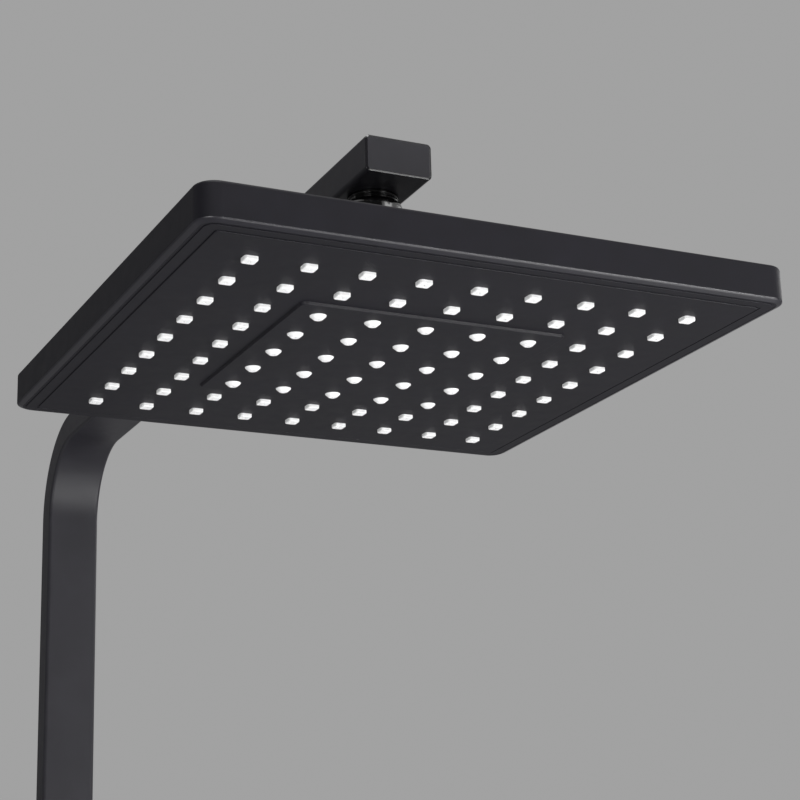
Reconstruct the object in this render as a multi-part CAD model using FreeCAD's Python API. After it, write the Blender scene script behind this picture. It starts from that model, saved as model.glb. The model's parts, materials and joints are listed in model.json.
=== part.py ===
"""Wall-hung overhead shower: bent rectangular column, ball joint and square rain head.

Millimetres. The wall is the plane Y = 0 and the room is on the -Y side. +X is to the right of a
person who faces the wall and +Z is up. The origin is on the wall, at the centre of the column's bracket.
"""
import FreeCAD
import Part
import math
import os
from FreeCAD import Vector

# Column tube: rectangular section with one bend
tube_width = 30.0            # across the column
tube_depth = 16.0            # in the plane of the bend
tube_wall = 1.5
tube_corner = 2.0            # outer corner radius of the section
bend_inner_radius = 40.0
wall_stand_off = 50.0        # wall to the riser's centre line
head_reach = 443.0           # riser's centre line to the head's axis
arm_overhang = 26.5          # arm beyond the head's axis
arm_height = 292.0           # arm's centre line above the bracket
riser_drop = 520.0           # tube's lower end below the bracket

# Fits
fit_gap = 0.1                # between nested pieces that don't move
ball_gap = 0.25              # between the spherical faces of the ball joint
thread_gap = 0.1             # between male and female thread cylinders
least_corner = 0.5           # smallest corner radius that a nested outline may shrink to
cut_past = 1.0               # cutters run this far past the face that they open

# Plug in the arm's end
cap_thickness = 2.0
cap_round = 0.8
cap_plug_length = 8.0

# Outlet nipple under the arm, pipe thread G1/2
pipe_thread_radius = 10.48
nipple_collar_radius = 10.8  # just covers the thread
nipple_collar_height = 3.0
nipple_collar_round = 0.25
nipple_thread_length = 10.4
nipple_bore_radius = 7.0
nipple_spigot_radius = 9.0
nipple_spigot_rise = 1.0     # above the tube's inner face

# Ball stem: nut, neck and ball in one piece, with its washer and flow regulator
collar_to_nut_gap = 0.4
stem_nut_radius = 12.6
stem_nut_height = 16.0
stem_nut_round = 1.6
stem_flat_height = 7.0       # spanner flats at the nut's lower end
stem_flat_width = 22.0
neck_length = 18.1           # ball's centre to the nut
neck_radius = 6.5
ball_radius = 10.0
stem_bore_radius = 4.2
washer_thickness = 2.2
washer_bore_radius = 6.5
filter_thickness = 0.6
filter_hole_radius = 0.7
filter_hole_pitch = 2.2
regulator_radius = 7.0
regulator_thickness = 2.0
regulator_hole_radius = 0.9
regulator_hole_circle = 2.8
regulator_hole_count = 6

# Ball joint: rings round the ball, socket and ball nut
swivel_limit = 12.0          # degrees of tilt to each side
liner_thickness = 1.6
slip_ring_low_latitude = 8.0
seat_low_latitude = -62.0
latitude_margin = 6.0        # degrees between the two rings at full tilt
neck_margin = 1.5            # degrees between the neck and the slip ring at full tilt
socket_wall = 2.9
socket_bore_radius = 5.5
socket_flange_radius = 21.0
socket_flange_thickness = 2.5
ball_rise = 19.2             # ball's centre above the cover
ball_nut_wall = 3.9
ball_nut_skirt = 10.0        # below the ball's centre
ball_nut_rise = 10.5         # above the ball's centre
ball_nut_lip_latitude = 30.0
ball_nut_land = 1.0
ball_nut_mouth_gap = 1.0
ball_nut_round = 2.0
grip_flute_radius = 1.2
grip_flute_count = 20
lock_nut_wall = 6.4
lock_nut_height = 5.0
lock_nut_round = 1.0
o_ring_section = 1.0         # radius of the ring's round section
o_ring_squeeze = 0.2

# Rain head. Heights count up from the face's underside
nozzle_pitch = 22.8
nozzle_rows = 9
panel_rows = 5               # rows of round nozzles in the centre panel
face_margin = 28.8           # outermost nozzle row to the head's side
head_thickness = 15.3        # face to the cover's top
head_corner = 8.0
cover_wall = 3.0
cover_top_wall = 2.6
cover_top_round = 1.2
cover_rim_rise = 0.5         # rim above the face
bevel_width = 2.4
bevel_height = 1.1
ledge_width = 6.0            # inside step that the chamber's seal presses on
hub_pad_radius = 30.0
hub_pad_height = 1.2
groove_width = 0.8
trim_band_width = 4.2
trim_band_rise = 0.25        # trim above the face
trim_lip_width = 2.5
trim_corner = 1.5            # inner corner of the trim frame and outer corner of the face
face_thickness = 2.0
mat_thickness = 1.2
mat_margin = 11.8            # mat beyond the centres of its outermost nozzles
plate_thickness = 2.5
plate_gap = 0.3
plate_hole_radius = 1.6
seal_thickness = 1.5
seal_width = 3.0
seal_inset = 1.2             # seal behind the cover's inner wall

# Centre panel and its frame in the face
panel_drop = 1.1
panel_draft = 0.6            # slope of its sides, from the face to its underside
panel_corner = 3.0
panel_flange = 7.0           # flange beyond the opening in the face
face_rib_width = 8.0
mat_gap = 0.5

# Nozzles
pad_width = 5.3
pad_corner = 1.0
pad_drop = 1.4
pad_round = 0.4
dome_radius = 3.25
dome_tip_radius = 1.7
dome_drop = 1.45
dome_round = 0.6
jet_radius = 0.6

# Screws
chamber_screw_inset = 13.0   # row of screws behind the head's side
chamber_screws_per_side = 3
screw_radius = 1.5
screw_head_radius = 2.6
screw_head_height = 1.4
screw_boss_radius = 4.5
screw_end_gap = 1.0
face_screw_offset = 20.0

# Foot of the column: plug, union nut G3/4 and washer
union_thread_radius = 13.2
union_thread_length = 11.0
union_relief = 0.6           # wider bore above the thread, round the collar and washer
union_lip = 3.0
union_width = 32.0           # across flats
foot_plug_length = 15.0
foot_flange_thickness = 3.0
foot_neck_radius = 9.0
foot_neck_length = 6.0
foot_collar_thickness = 3.0
foot_bore_radius = 5.0
union_gap = 0.3
union_washer_thickness = 2.5

# Wall bracket
wall_plate_width = 44.0
wall_plate_height = 68.0
wall_plate_thickness = 4.0
wall_plate_corner = 4.0
wall_hole_spacing = 44.0
wall_hole_radius = 2.75
bracket_cover_wall = 1.6
bracket_cover_depth = 13.0
bracket_cover_round = 1.0
post_radius = 9.0
sleeve_wall = 3.4
sleeve_height = 26.0
sleeve_round = 0.8
bracket_screw_radius = 2.5
bracket_screw_head_radius = 4.6
bracket_screw_length = 12.0
grub_screw_radius = 2.0

# Places that follow from the sizes above
riser_y = -wall_stand_off
head_y = riser_y - head_reach
arm_end_y = head_y - arm_overhang
arm_underside_z = arm_height - tube_depth / 2
tube_foot_z = -riser_drop
bend_radius = bend_inner_radius + tube_depth / 2
bore_width = tube_width - 2 * tube_wall
bore_depth = tube_depth - 2 * tube_wall
bore_corner = max(tube_corner - tube_wall, least_corner)
thread_bore_radius = pipe_thread_radius + thread_gap
stem_nut_top = neck_length + stem_nut_height
arm_above_ball = stem_nut_top + collar_to_nut_gap + nipple_collar_height
stem_bore_floor = stem_nut_top + collar_to_nut_gap - nipple_thread_length - washer_thickness
ball_z = arm_underside_z - arm_above_ball
face_z = ball_z - ball_rise - head_thickness
liner_inner = ball_radius + ball_gap
liner_outer = liner_inner + liner_thickness
socket_radius = liner_outer + ball_gap
socket_outer = socket_radius + socket_wall
swivel_total = math.degrees(math.acos(math.cos(math.radians(swivel_limit)) ** 2))
neck_polar = math.degrees(math.asin(neck_radius / ball_radius))
slip_ring_high_latitude = 90 - neck_polar - swivel_total - neck_margin
seat_high_latitude = slip_ring_low_latitude - swivel_limit - latitude_margin
ball_nut_bore = socket_outer + thread_gap
ball_nut_outer = ball_nut_bore + ball_nut_wall
head_width = (nozzle_rows - 1) * nozzle_pitch + 2 * face_margin
trim_outer = head_width - 2 * (cover_wall + groove_width)
trim_inner = trim_outer - 2 * trim_band_width
face_width = trim_inner - 2 * groove_width
panel_width = panel_rows * nozzle_pitch
opening_width = panel_width - 2 * panel_flange
rib_outer = opening_width + 2 * face_rib_width
mat_top = face_thickness + mat_thickness
plate_top = mat_top + plate_thickness
ledge_z = plate_top + seal_thickness
cover_underside = head_thickness - cover_top_wall
plate_width = head_width - 2 * (cover_wall + plate_gap)
plate_corner = max(head_corner - cover_wall - plate_gap, least_corner)
mat_outer = (nozzle_rows - 1) * nozzle_pitch + 2 * mat_margin
chamber_screw_row = head_width / 2 - chamber_screw_inset
face_screw_row = (opening_width + panel_width) / 4
foot_collar_radius = union_thread_radius - union_gap
foot_neck_top = tube_foot_z - foot_flange_thickness
foot_end_z = foot_neck_top - foot_neck_length - foot_collar_thickness
sleeve_back = riser_y + tube_depth / 2 + fit_gap + sleeve_wall


def rounded_rectangle(width, depth, corner, z=0.0):
    """Closed outline in a level plane, centred on the Z axis."""
    x = width / 2
    y = depth / 2
    c = corner
    s = corner * (1 - math.sqrt(0.5))
    corners = ((1, 1), (-1, 1), (-1, -1), (1, -1))
    edges = []
    for index, (i, j) in enumerate(corners):
        first = Vector(i * x, j * (y - c), z)
        second = Vector(i * (x - c), j * y, z)
        middle = Vector(i * (x - s), j * (y - s), z)
        if index % 2:
            first, second = second, first
        edges.append(Part.Arc(first, middle, second).toShape())
    for index in range(4):
        start = edges[index].Vertexes[-1].Point
        end = edges[(index + 1) % 4].Vertexes[0].Point
        edges.append(Part.makeLine(start, end))
    return Part.Wire(Part.__sortEdges__(edges))


def slab(width, depth, corner, low, high):
    """Rounded rectangular block between two heights."""
    face = Part.Face(rounded_rectangle(width, depth, corner, low))
    return face.extrude(Vector(0, 0, high - low))


def frame(outer, inner, outer_corner, inner_corner, low, high):
    """Square ring between two heights."""
    hole = slab(inner, inner, inner_corner, low, high)
    return slab(outer, outer, outer_corner, low, high).cut(hole)


def cylinder(radius, low, high, x=0.0, y=0.0):
    """Upright cylinder between two heights."""
    return Part.makeCylinder(radius, high - low, Vector(x, y, low))


def turned(outline):
    """Solid turned about Z from a closed outline of (radius, height) points."""
    points = [Vector(radius, 0, height) for radius, height in outline]
    face = Part.Face(Part.makePolygon(points + points[:1]))
    return face.revolve(Vector(0, 0, 0), Vector(0, 0, 1), 360)


def spherical_ring(inner, outer, low, high):
    """Ring of a hollow sphere about the origin, between two latitudes in degrees."""
    def point(radius, latitude):
        angle = math.radians(latitude)
        return Vector(radius * math.cos(angle), 0, radius * math.sin(angle))
    middle = (low + high) / 2
    inside = Part.Arc(point(inner, low), point(inner, middle), point(inner, high)).toShape()
    outside = Part.Arc(point(outer, high), point(outer, middle), point(outer, low)).toShape()
    top = Part.makeLine(point(inner, high), point(outer, high))
    bottom = Part.makeLine(point(outer, low), point(inner, low))
    face = Part.Face(Part.Wire([inside, top, outside, bottom]))
    return face.revolve(Vector(0, 0, 0), Vector(0, 0, 1), 360)


def round_rings(shape, size, *rings):
    """Rounds the circular edges that have one of the given (radius, height) pairs."""
    edges = []
    for edge in shape.Edges:
        if not isinstance(edge.Curve, Part.Circle):
            continue
        for radius, height in rings:
            same_radius = abs(edge.Curve.Radius - radius) < 1e-4
            if same_radius and abs(edge.Curve.Center.z - height) < 1e-4:
                edges.append(edge)
    return shape.makeFillet(size, edges)


def round_level_edges(shape, size, height):
    """Rounds every edge that lies in the level plane at the given height."""
    edges = []
    for edge in shape.Edges:
        box = edge.BoundBox
        if abs(box.ZMin - height) < 1e-4 and abs(box.ZMax - height) < 1e-4:
            edges.append(edge)
    return shape.makeFillet(size, edges)


def lay_forward(shape):
    """Turns a shape so that its +Z side faces the room."""
    return shape.rotated(Vector(0, 0, 0), Vector(1, 0, 0), 90)


def grid_points(rows, without=0):
    """Nozzle places of a square grid, less the middle rows that belong to the centre panel."""
    half = (rows - 1) // 2
    skip = (without - 1) // 2 if without else -1
    steps = range(-half, half + 1)
    kept = [(i, j) for i in steps for j in steps if max(abs(i), abs(j)) > skip]
    return [Vector(i * nozzle_pitch, j * nozzle_pitch, 0) for i, j in kept]


def copies(shape, points):
    """Copies of a shape, one moved to each point."""
    return [shape.translated(point) for point in points]


def turned_places(points):
    """The given places, repeated on all four sides of the head."""
    places = []
    for quarter in range(4):
        turn = FreeCAD.Rotation(Vector(0, 0, 1), 90 * quarter)
        places += [turn.multVec(point) for point in points]
    return places


def chamber_screw_points():
    step = 2 * chamber_screw_row / chamber_screws_per_side
    across = [-chamber_screw_row + step * i for i in range(chamber_screws_per_side)]
    return turned_places([Vector(x, -chamber_screw_row, 0) for x in across])


def face_screw_points():
    row = [Vector(side * face_screw_offset, -face_screw_row, 0) for side in (-1, 1)]
    return turned_places(row)


def at_head(shape):
    return shape.translated(Vector(0, head_y, face_z))


def at_ball(shape):
    return shape.translated(Vector(0, head_y, ball_z))


def column_bar(width, depth, corner, foot_z, end_y):
    """Solid bar of one section that climbs the riser, turns through the bend and runs along the arm."""
    bend_z = arm_height - bend_radius
    section = Part.Face(rounded_rectangle(width, depth, corner, foot_z))
    section.translate(Vector(0, riser_y, 0))
    riser = section.extrude(Vector(0, 0, bend_z - foot_z))
    section.translate(Vector(0, 0, bend_z - foot_z))
    pivot = Vector(0, riser_y - bend_radius, bend_z)
    bend = section.revolve(pivot, Vector(1, 0, 0), 90)
    section.rotate(pivot, Vector(1, 0, 0), 90)
    arm = section.extrude(Vector(0, end_y - pivot.y, 0))
    return riser.fuse([bend, arm]).removeSplitter()


def column_tube():
    end_y = arm_end_y + cap_thickness
    outside = column_bar(tube_width, tube_depth, tube_corner, tube_foot_z, end_y)
    inside = column_bar(bore_width, bore_depth, bore_corner, tube_foot_z - cut_past, end_y - cut_past)
    hole_low = arm_underside_z - cut_past
    hole_high = arm_underside_z + tube_wall + cut_past
    hole = cylinder(nipple_spigot_radius + fit_gap, hole_low, hole_high, 0, head_y)
    return outside.cut(inside).cut(hole)


def arm_end_cap():
    plate = slab(tube_width, tube_depth, tube_corner, 0, cap_thickness)
    plate = round_level_edges(plate, cap_round, cap_thickness)
    plug_width = bore_width - 2 * fit_gap
    plug_depth = bore_depth - 2 * fit_gap
    plug = slab(plug_width, plug_depth, bore_corner, -cap_plug_length, 0)
    cap = lay_forward(plate.fuse(plug).removeSplitter())
    return cap.translated(Vector(0, arm_end_y + cap_thickness, arm_height))


def outlet_nipple():
    thread_end = -nipple_collar_height - nipple_thread_length
    spigot_top = tube_wall + nipple_spigot_rise
    nipple = turned([
        (nipple_bore_radius, thread_end),
        (pipe_thread_radius, thread_end),
        (pipe_thread_radius, -nipple_collar_height),
        (nipple_collar_radius, -nipple_collar_height),
        (nipple_collar_radius, 0),
        (nipple_spigot_radius, 0),
        (nipple_spigot_radius, spigot_top),
        (nipple_bore_radius, spigot_top),
    ])
    nipple = round_rings(nipple, nipple_collar_round, (nipple_collar_radius, -nipple_collar_height))
    return nipple.translated(Vector(0, head_y, arm_underside_z))


def ball_stem():
    nut = cylinder(stem_nut_radius, neck_length, stem_nut_top)
    nut = round_rings(nut, stem_nut_round, (stem_nut_radius, stem_nut_top), (stem_nut_radius, neck_length))
    neck = cylinder(neck_radius, 0, neck_length + stem_nut_round)
    stem = Part.makeSphere(ball_radius).fuse([neck, nut])
    flat_depth = stem_nut_radius
    for side in (-1, 1):
        corner_x = stem_flat_width / 2 if side > 0 else -stem_flat_width / 2 - flat_depth
        corner = Vector(corner_x, -stem_nut_radius, neck_length)
        stem = stem.cut(Part.makeBox(flat_depth, 2 * stem_nut_radius, stem_flat_height, corner))
    pocket = cylinder(regulator_radius + fit_gap, stem_bore_floor - regulator_thickness, stem_bore_floor)
    thread = cylinder(thread_bore_radius, stem_bore_floor, stem_nut_top + cut_past)
    bore = cylinder(stem_bore_radius, -ball_radius - cut_past, stem_bore_floor)
    return at_ball(stem.cut(pocket.fuse([thread, bore])))


def filter_washer():
    washer = cylinder(thread_bore_radius - fit_gap, stem_bore_floor, stem_bore_floor + washer_thickness)
    web_low = stem_bore_floor + (washer_thickness - filter_thickness) / 2
    web_high = web_low + filter_thickness
    below = cylinder(washer_bore_radius, stem_bore_floor - cut_past, web_low)
    above = cylinder(washer_bore_radius, web_high, stem_bore_floor + washer_thickness + cut_past)
    reach = washer_bore_radius - filter_hole_radius - fit_gap
    count = int(reach / filter_hole_pitch)
    steps = range(-count, count + 1)
    places = [Vector(i * filter_hole_pitch, j * filter_hole_pitch, 0) for i in steps for j in steps]
    hole = cylinder(filter_hole_radius, web_low - cut_past, web_high + cut_past)
    holes = copies(hole, [place for place in places if place.Length <= reach])
    return at_ball(washer.cut([below, above] + holes))


def flow_regulator():
    low = stem_bore_floor - regulator_thickness
    disc = cylinder(regulator_radius, low, stem_bore_floor)
    hole = cylinder(regulator_hole_radius, low - cut_past, stem_bore_floor + cut_past)
    hole.translate(Vector(regulator_hole_circle, 0, 0))
    step = 360 / regulator_hole_count
    axis = Vector(0, 0, 1)
    holes = [hole.rotated(Vector(0, 0, 0), axis, step * i) for i in range(regulator_hole_count)]
    return at_ball(disc.cut(holes))


def ball_seat():
    return at_ball(spherical_ring(liner_inner, liner_outer, seat_low_latitude, seat_high_latitude))


def slip_ring():
    return at_ball(spherical_ring(liner_inner, liner_outer, slip_ring_low_latitude, slip_ring_high_latitude))


def socket_top():
    return head_thickness + ball_rise


def hub_socket():
    flange_low = cover_underside - socket_flange_thickness
    socket = turned([
        (0, flange_low),
        (socket_flange_radius, flange_low),
        (socket_flange_radius, cover_underside),
        (socket_outer, cover_underside),
        (socket_outer, socket_top()),
        (0, socket_top()),
    ])
    cup = Part.makeSphere(socket_radius, Vector(0, 0, socket_top()))
    bore = cylinder(socket_bore_radius, flange_low - cut_past, socket_top())
    groove_radius = hub_seal_radius()
    groove_half = o_ring_section + fit_gap
    groove_depth = 2 * (o_ring_section - o_ring_squeeze)
    groove_low = cover_underside - groove_depth
    groove = cylinder(groove_radius + groove_half, groove_low, cover_underside)
    groove = groove.cut(cylinder(groove_radius - groove_half, groove_low, cover_underside))
    return at_head(socket.cut([cup, bore, groove]))


def hub_seal_radius():
    return (socket_outer + socket_flange_radius) / 2


def hub_seal():
    """Round ring pressed flat between the bottom of its groove and the cover."""
    depth = 2 * (o_ring_section - o_ring_squeeze)
    centre = Vector(0, 0, cover_underside - depth / 2)
    ring = Part.makeTorus(hub_seal_radius(), o_ring_section, centre)
    outer = cylinder(socket_flange_radius, cover_underside - depth, cover_underside)
    return at_head(ring.common(outer))


def grip_flutes(radius, low, high):
    """Cutters for the finger grip round a nut."""
    flute = cylinder(grip_flute_radius, low, high, radius + grip_flute_radius / 2, 0)
    step = 360 / grip_flute_count
    axis = Vector(0, 0, 1)
    return [flute.rotated(Vector(0, 0, 0), axis, step * i) for i in range(grip_flute_count)]


def ball_nut():
    lip_angle = math.radians(ball_nut_lip_latitude)
    lip_radius = socket_radius * math.cos(lip_angle)
    land_top = socket_radius * math.sin(lip_angle) + ball_nut_land
    lean = math.radians(swivel_total)
    mouth = ball_nut_rise * math.tan(lean) + neck_radius / math.cos(lean) + ball_nut_mouth_gap
    nut = turned([
        (ball_nut_bore, -ball_nut_skirt),
        (ball_nut_outer, -ball_nut_skirt),
        (ball_nut_outer, ball_nut_rise),
        (mouth, ball_nut_rise),
        (lip_radius, land_top),
        (lip_radius, fit_gap),
        (ball_nut_bore, fit_gap),
    ])
    nut = round_rings(nut, ball_nut_round, (ball_nut_outer, ball_nut_rise))
    flutes = grip_flutes(ball_nut_outer, -ball_nut_skirt - cut_past, ball_nut_rise - 2 * ball_nut_round)
    return at_ball(nut.cut([Part.makeSphere(socket_radius)] + flutes))


def hub_lock_nut():
    low = head_thickness + hub_pad_height
    high = low + lock_nut_height
    outer = socket_outer + thread_gap + lock_nut_wall
    nut = cylinder(outer, low, high)
    nut = round_rings(nut, lock_nut_round, (outer, high))
    nut = nut.cut(cylinder(socket_outer + thread_gap, low, high))
    return at_head(nut.cut(grip_flutes(outer, low - cut_past, high - lock_nut_round)))


def cover_shell():
    """Outside of the cover: bevelled rim, straight sides and a round pad for the hub."""
    low = cover_rim_rise
    bevel_top = low + bevel_height
    rim_width = head_width - 2 * bevel_width
    rim = rounded_rectangle(rim_width, rim_width, head_corner - bevel_width, low)
    side = rounded_rectangle(head_width, head_width, head_corner, bevel_top)
    bevel = Part.makeLoft([rim, side], True, True)
    body = slab(head_width, head_width, head_corner, bevel_top, head_thickness)
    body = round_level_edges(body, cover_top_round, head_thickness)
    pad = cylinder(hub_pad_radius, cover_underside, head_thickness + hub_pad_height)
    return body.fuse([bevel, pad]).removeSplitter()


def head_cover():
    inner_width = head_width - 2 * cover_wall
    chamber_width = inner_width - 2 * ledge_width
    inner_corner = max(head_corner - cover_wall, least_corner)
    recess = slab(inner_width, inner_width, inner_corner, cover_rim_rise - cut_past, ledge_z)
    chamber = slab(chamber_width, chamber_width, inner_corner, ledge_z - cut_past, cover_underside)
    pad_top = head_thickness + hub_pad_height
    hub_hole = cylinder(socket_outer + thread_gap, cover_underside - cut_past, pad_top + cut_past)
    cover = cover_shell().cut([recess, chamber, hub_hole])
    points = chamber_screw_points() + face_screw_points()
    boss = cylinder(screw_boss_radius, plate_top, cover_underside)
    pilot = cylinder(screw_radius + fit_gap, plate_top - cut_past, cover_underside)
    cover = cover.fuse(copies(boss, points)).cut(copies(pilot, points))
    return at_head(cover.removeSplitter())


def cover_seal():
    outer = head_width - 2 * (cover_wall + seal_inset)
    inner = outer - 2 * seal_width
    outer_corner = max(head_corner - cover_wall - seal_inset, least_corner)
    inner_corner = max(outer_corner - seal_width, least_corner)
    return at_head(frame(outer, inner, outer_corner, inner_corner, plate_top, ledge_z))


def distribution_plate():
    plate = slab(plate_width, plate_width, plate_corner, mat_top, plate_top)
    through = cylinder(screw_radius + fit_gap, mat_top - cut_past, plate_top + cut_past)
    head = cylinder(screw_head_radius + fit_gap, mat_top - cut_past, mat_top + screw_head_height)
    water = cylinder(plate_hole_radius, mat_top - cut_past, plate_top + cut_past)
    cuts = copies(water, grid_points(nozzle_rows))
    cuts += copies(through, chamber_screw_points() + face_screw_points())
    cuts += copies(head, chamber_screw_points())
    return at_head(plate.cut(cuts))


def screw(head_low, end):
    """Screw that points up, with its flat head at the lower end."""
    head_top = head_low + screw_head_height
    head = cylinder(screw_head_radius, head_low, head_top)
    return head.fuse(cylinder(screw_radius, head_top, end)).removeSplitter()


def chamber_screws():
    end = cover_underside - screw_end_gap
    screws = copies(screw(mat_top, end), chamber_screw_points())
    return at_head(Part.makeCompound(screws))


def face_screws():
    end = cover_underside - screw_end_gap
    screws = copies(screw(0, end), face_screw_points())
    return at_head(Part.makeCompound(screws))


def face_plate():
    plate = slab(face_width, face_width, trim_corner, 0, face_thickness)
    rib = slab(rib_outer, rib_outer, panel_corner, face_thickness, mat_top)
    opening = slab(opening_width, opening_width, panel_corner, -cut_past, mat_top + cut_past)
    hole_width = pad_width + 2 * fit_gap
    hole = slab(hole_width, hole_width, pad_corner + fit_gap, -cut_past, face_thickness + cut_past)
    through = cylinder(screw_radius + fit_gap, -cut_past, mat_top + cut_past)
    head = cylinder(screw_head_radius + fit_gap, -cut_past, screw_head_height)
    cuts = [opening] + copies(hole, grid_points(nozzle_rows, panel_rows))
    cuts += copies(through, face_screw_points()) + copies(head, face_screw_points())
    return at_head(plate.fuse(rib).removeSplitter().cut(cuts))


def trim_frame():
    outer_corner = max(head_corner - cover_wall - groove_width, least_corner)
    band = frame(trim_outer, trim_inner, outer_corner, trim_corner, trim_band_rise, mat_top)
    lip_inner = trim_inner - 2 * trim_lip_width
    lip = frame(trim_outer, lip_inner, outer_corner, trim_corner, face_thickness, mat_top)
    return at_head(band.fuse(lip).removeSplitter())


def centre_panel():
    under_width = panel_width - 2 * panel_draft
    under = rounded_rectangle(under_width, under_width, panel_corner - panel_draft, -panel_drop)
    top = rounded_rectangle(panel_width, panel_width, panel_corner, 0)
    flange = Part.makeLoft([under, top], True, True)
    spigot_width = opening_width - 2 * fit_gap
    spigot = slab(spigot_width, spigot_width, panel_corner, 0, face_thickness)
    hole = cylinder(dome_radius + fit_gap, -panel_drop - cut_past, face_thickness + cut_past)
    panel = flange.fuse(spigot).removeSplitter()
    return at_head(panel.cut(copies(hole, grid_points(panel_rows))))


def nozzle_mat(sheet, nozzle, points):
    """Silicone sheet with one nozzle at each point and a jet hole through every nozzle."""
    jet = cylinder(jet_radius, -panel_drop - dome_drop - cut_past, mat_top + cut_past)
    mat = sheet.fuse(copies(nozzle, points)).removeSplitter()
    return at_head(mat.cut(copies(jet, points)))


def nozzle_mat_outer():
    inner = rib_outer + 2 * mat_gap
    sheet = frame(mat_outer, inner, panel_corner, panel_corner, face_thickness, mat_top)
    pad = slab(pad_width, pad_width, pad_corner, -pad_drop, face_thickness)
    pad = round_level_edges(pad, pad_round, -pad_drop)
    return nozzle_mat(sheet, pad, grid_points(nozzle_rows, panel_rows))


def nozzle_mat_inner():
    width = opening_width - 2 * mat_gap
    sheet = slab(width, width, panel_corner, face_thickness, mat_top)
    tip = -panel_drop - dome_drop
    dome = turned([
        (0, tip),
        (dome_tip_radius, tip),
        (dome_radius, -panel_drop),
        (dome_radius, face_thickness),
        (0, face_thickness),
    ])
    dome = round_rings(dome, dome_round, (dome_tip_radius, tip))
    return nozzle_mat(sheet, dome, grid_points(panel_rows))


def column_foot():
    """Plug in the tube's lower end, with a neck and collar that hold the union nut captive."""
    plug_width = bore_width - 2 * fit_gap
    plug_depth = bore_depth - 2 * fit_gap
    plug = slab(plug_width, plug_depth, bore_corner, tube_foot_z, tube_foot_z + foot_plug_length)
    flange = slab(tube_width, tube_depth, tube_corner, foot_neck_top, tube_foot_z)
    neck_low = foot_end_z + foot_collar_thickness
    neck = cylinder(foot_neck_radius, neck_low, foot_neck_top)
    collar = cylinder(foot_collar_radius, foot_end_z, neck_low)
    bore_high = tube_foot_z + foot_plug_length + cut_past
    bore = cylinder(foot_bore_radius, foot_end_z - cut_past, bore_high)
    foot = plug.fuse([flange, neck, collar]).removeSplitter().cut(bore)
    return foot.translated(Vector(0, riser_y, 0))


def union_washer():
    low = foot_end_z - union_washer_thickness
    ring = cylinder(foot_collar_radius, low, foot_end_z)
    ring = ring.cut(cylinder(foot_bore_radius, low, foot_end_z))
    return ring.translated(Vector(0, riser_y, 0))


def union_nut():
    lip_low = foot_end_z + foot_collar_thickness + union_gap
    top = lip_low + union_lip
    bottom = foot_end_z - union_washer_thickness - union_thread_length
    corner_radius = union_width / math.sqrt(3)
    angles = [math.radians(60 * i) for i in range(7)]
    corners = [Vector(corner_radius * math.cos(a), corner_radius * math.sin(a), bottom) for a in angles]
    hexagon = Part.Face(Part.makePolygon(corners)).extrude(Vector(0, 0, top - bottom))
    chamfer = corner_radius - union_width / 2
    turned_blank = turned([
        (0, bottom),
        (corner_radius - chamfer, bottom),
        (corner_radius, bottom + chamfer),
        (corner_radius, top - chamfer),
        (corner_radius - chamfer, top),
        (0, top),
    ])
    thread_top = bottom + union_thread_length
    thread = cylinder(union_thread_radius, bottom - cut_past, thread_top)
    relief = cylinder(union_thread_radius + union_relief, thread_top, lip_low)
    hole = cylinder(foot_neck_radius + union_gap, lip_low, top + cut_past)
    nut = hexagon.common(turned_blank).cut([thread, relief, hole])
    return nut.translated(Vector(0, riser_y, 0))


def countersunk_screw(length):
    """Screw along Z with its flat head face at the origin and its point on the -Z side."""
    cone = bracket_screw_head_radius - bracket_screw_radius
    return turned([
        (0, 0),
        (bracket_screw_head_radius, 0),
        (bracket_screw_radius, -cone),
        (bracket_screw_radius, -length),
        (0, -length),
    ])


def countersink(length):
    """Room for a countersunk screw, a fit larger all round."""
    head = bracket_screw_head_radius + fit_gap
    shank = bracket_screw_radius + fit_gap
    return turned([
        (0, fit_gap),
        (head + fit_gap, fit_gap),
        (head, 0),
        (shank, shank - head),
        (shank, -length - fit_gap),
        (0, -length - fit_gap),
    ])


def post_screw_at(shape):
    """Places a screw along Z on the wall side of the wall plate, with its point towards the room."""
    return lay_forward(shape.rotated(Vector(0, 0, 0), Vector(1, 0, 0), 180))


def sleeve_screw_at(shape):
    """Places a screw along Z inside the sleeve, with its point towards the wall."""
    return lay_forward(shape).translated(Vector(0, sleeve_back - sleeve_wall, 0))


def wall_plate():
    plate = slab(wall_plate_width, wall_plate_height, wall_plate_corner, 0, wall_plate_thickness)
    hole = cylinder(wall_hole_radius, -cut_past, wall_plate_thickness + cut_past)
    places = [Vector(0, side * wall_hole_spacing / 2, 0) for side in (-1, 1)]
    plate = lay_forward(plate.cut(copies(hole, places)))
    return plate.cut(post_screw_at(countersink(bracket_screw_length)))


def post_screw():
    return post_screw_at(countersunk_screw(bracket_screw_length))


def bracket_cover():
    """Square cap over the wall plate, open towards the wall."""
    inside_width = wall_plate_width + 2 * fit_gap
    inside_height = wall_plate_height + 2 * fit_gap
    wall = bracket_cover_wall
    corner = wall_plate_corner + wall
    cover = slab(inside_width + 2 * wall, inside_height + 2 * wall, corner, 0, bracket_cover_depth)
    cover = round_level_edges(cover, bracket_cover_round, bracket_cover_depth)
    inside = slab(inside_width, inside_height, wall_plate_corner, -cut_past, bracket_cover_depth - wall)
    hole = cylinder(post_radius + fit_gap, 0, bracket_cover_depth + cut_past)
    return lay_forward(cover.cut([inside, hole]))


def bracket_post():
    post = lay_forward(cylinder(post_radius, wall_plate_thickness, -sleeve_back))
    wall_side = post_screw_at(countersink(bracket_screw_length))
    room_side = sleeve_screw_at(countersink(bracket_screw_length))
    return post.cut([wall_side, room_side])


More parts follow.
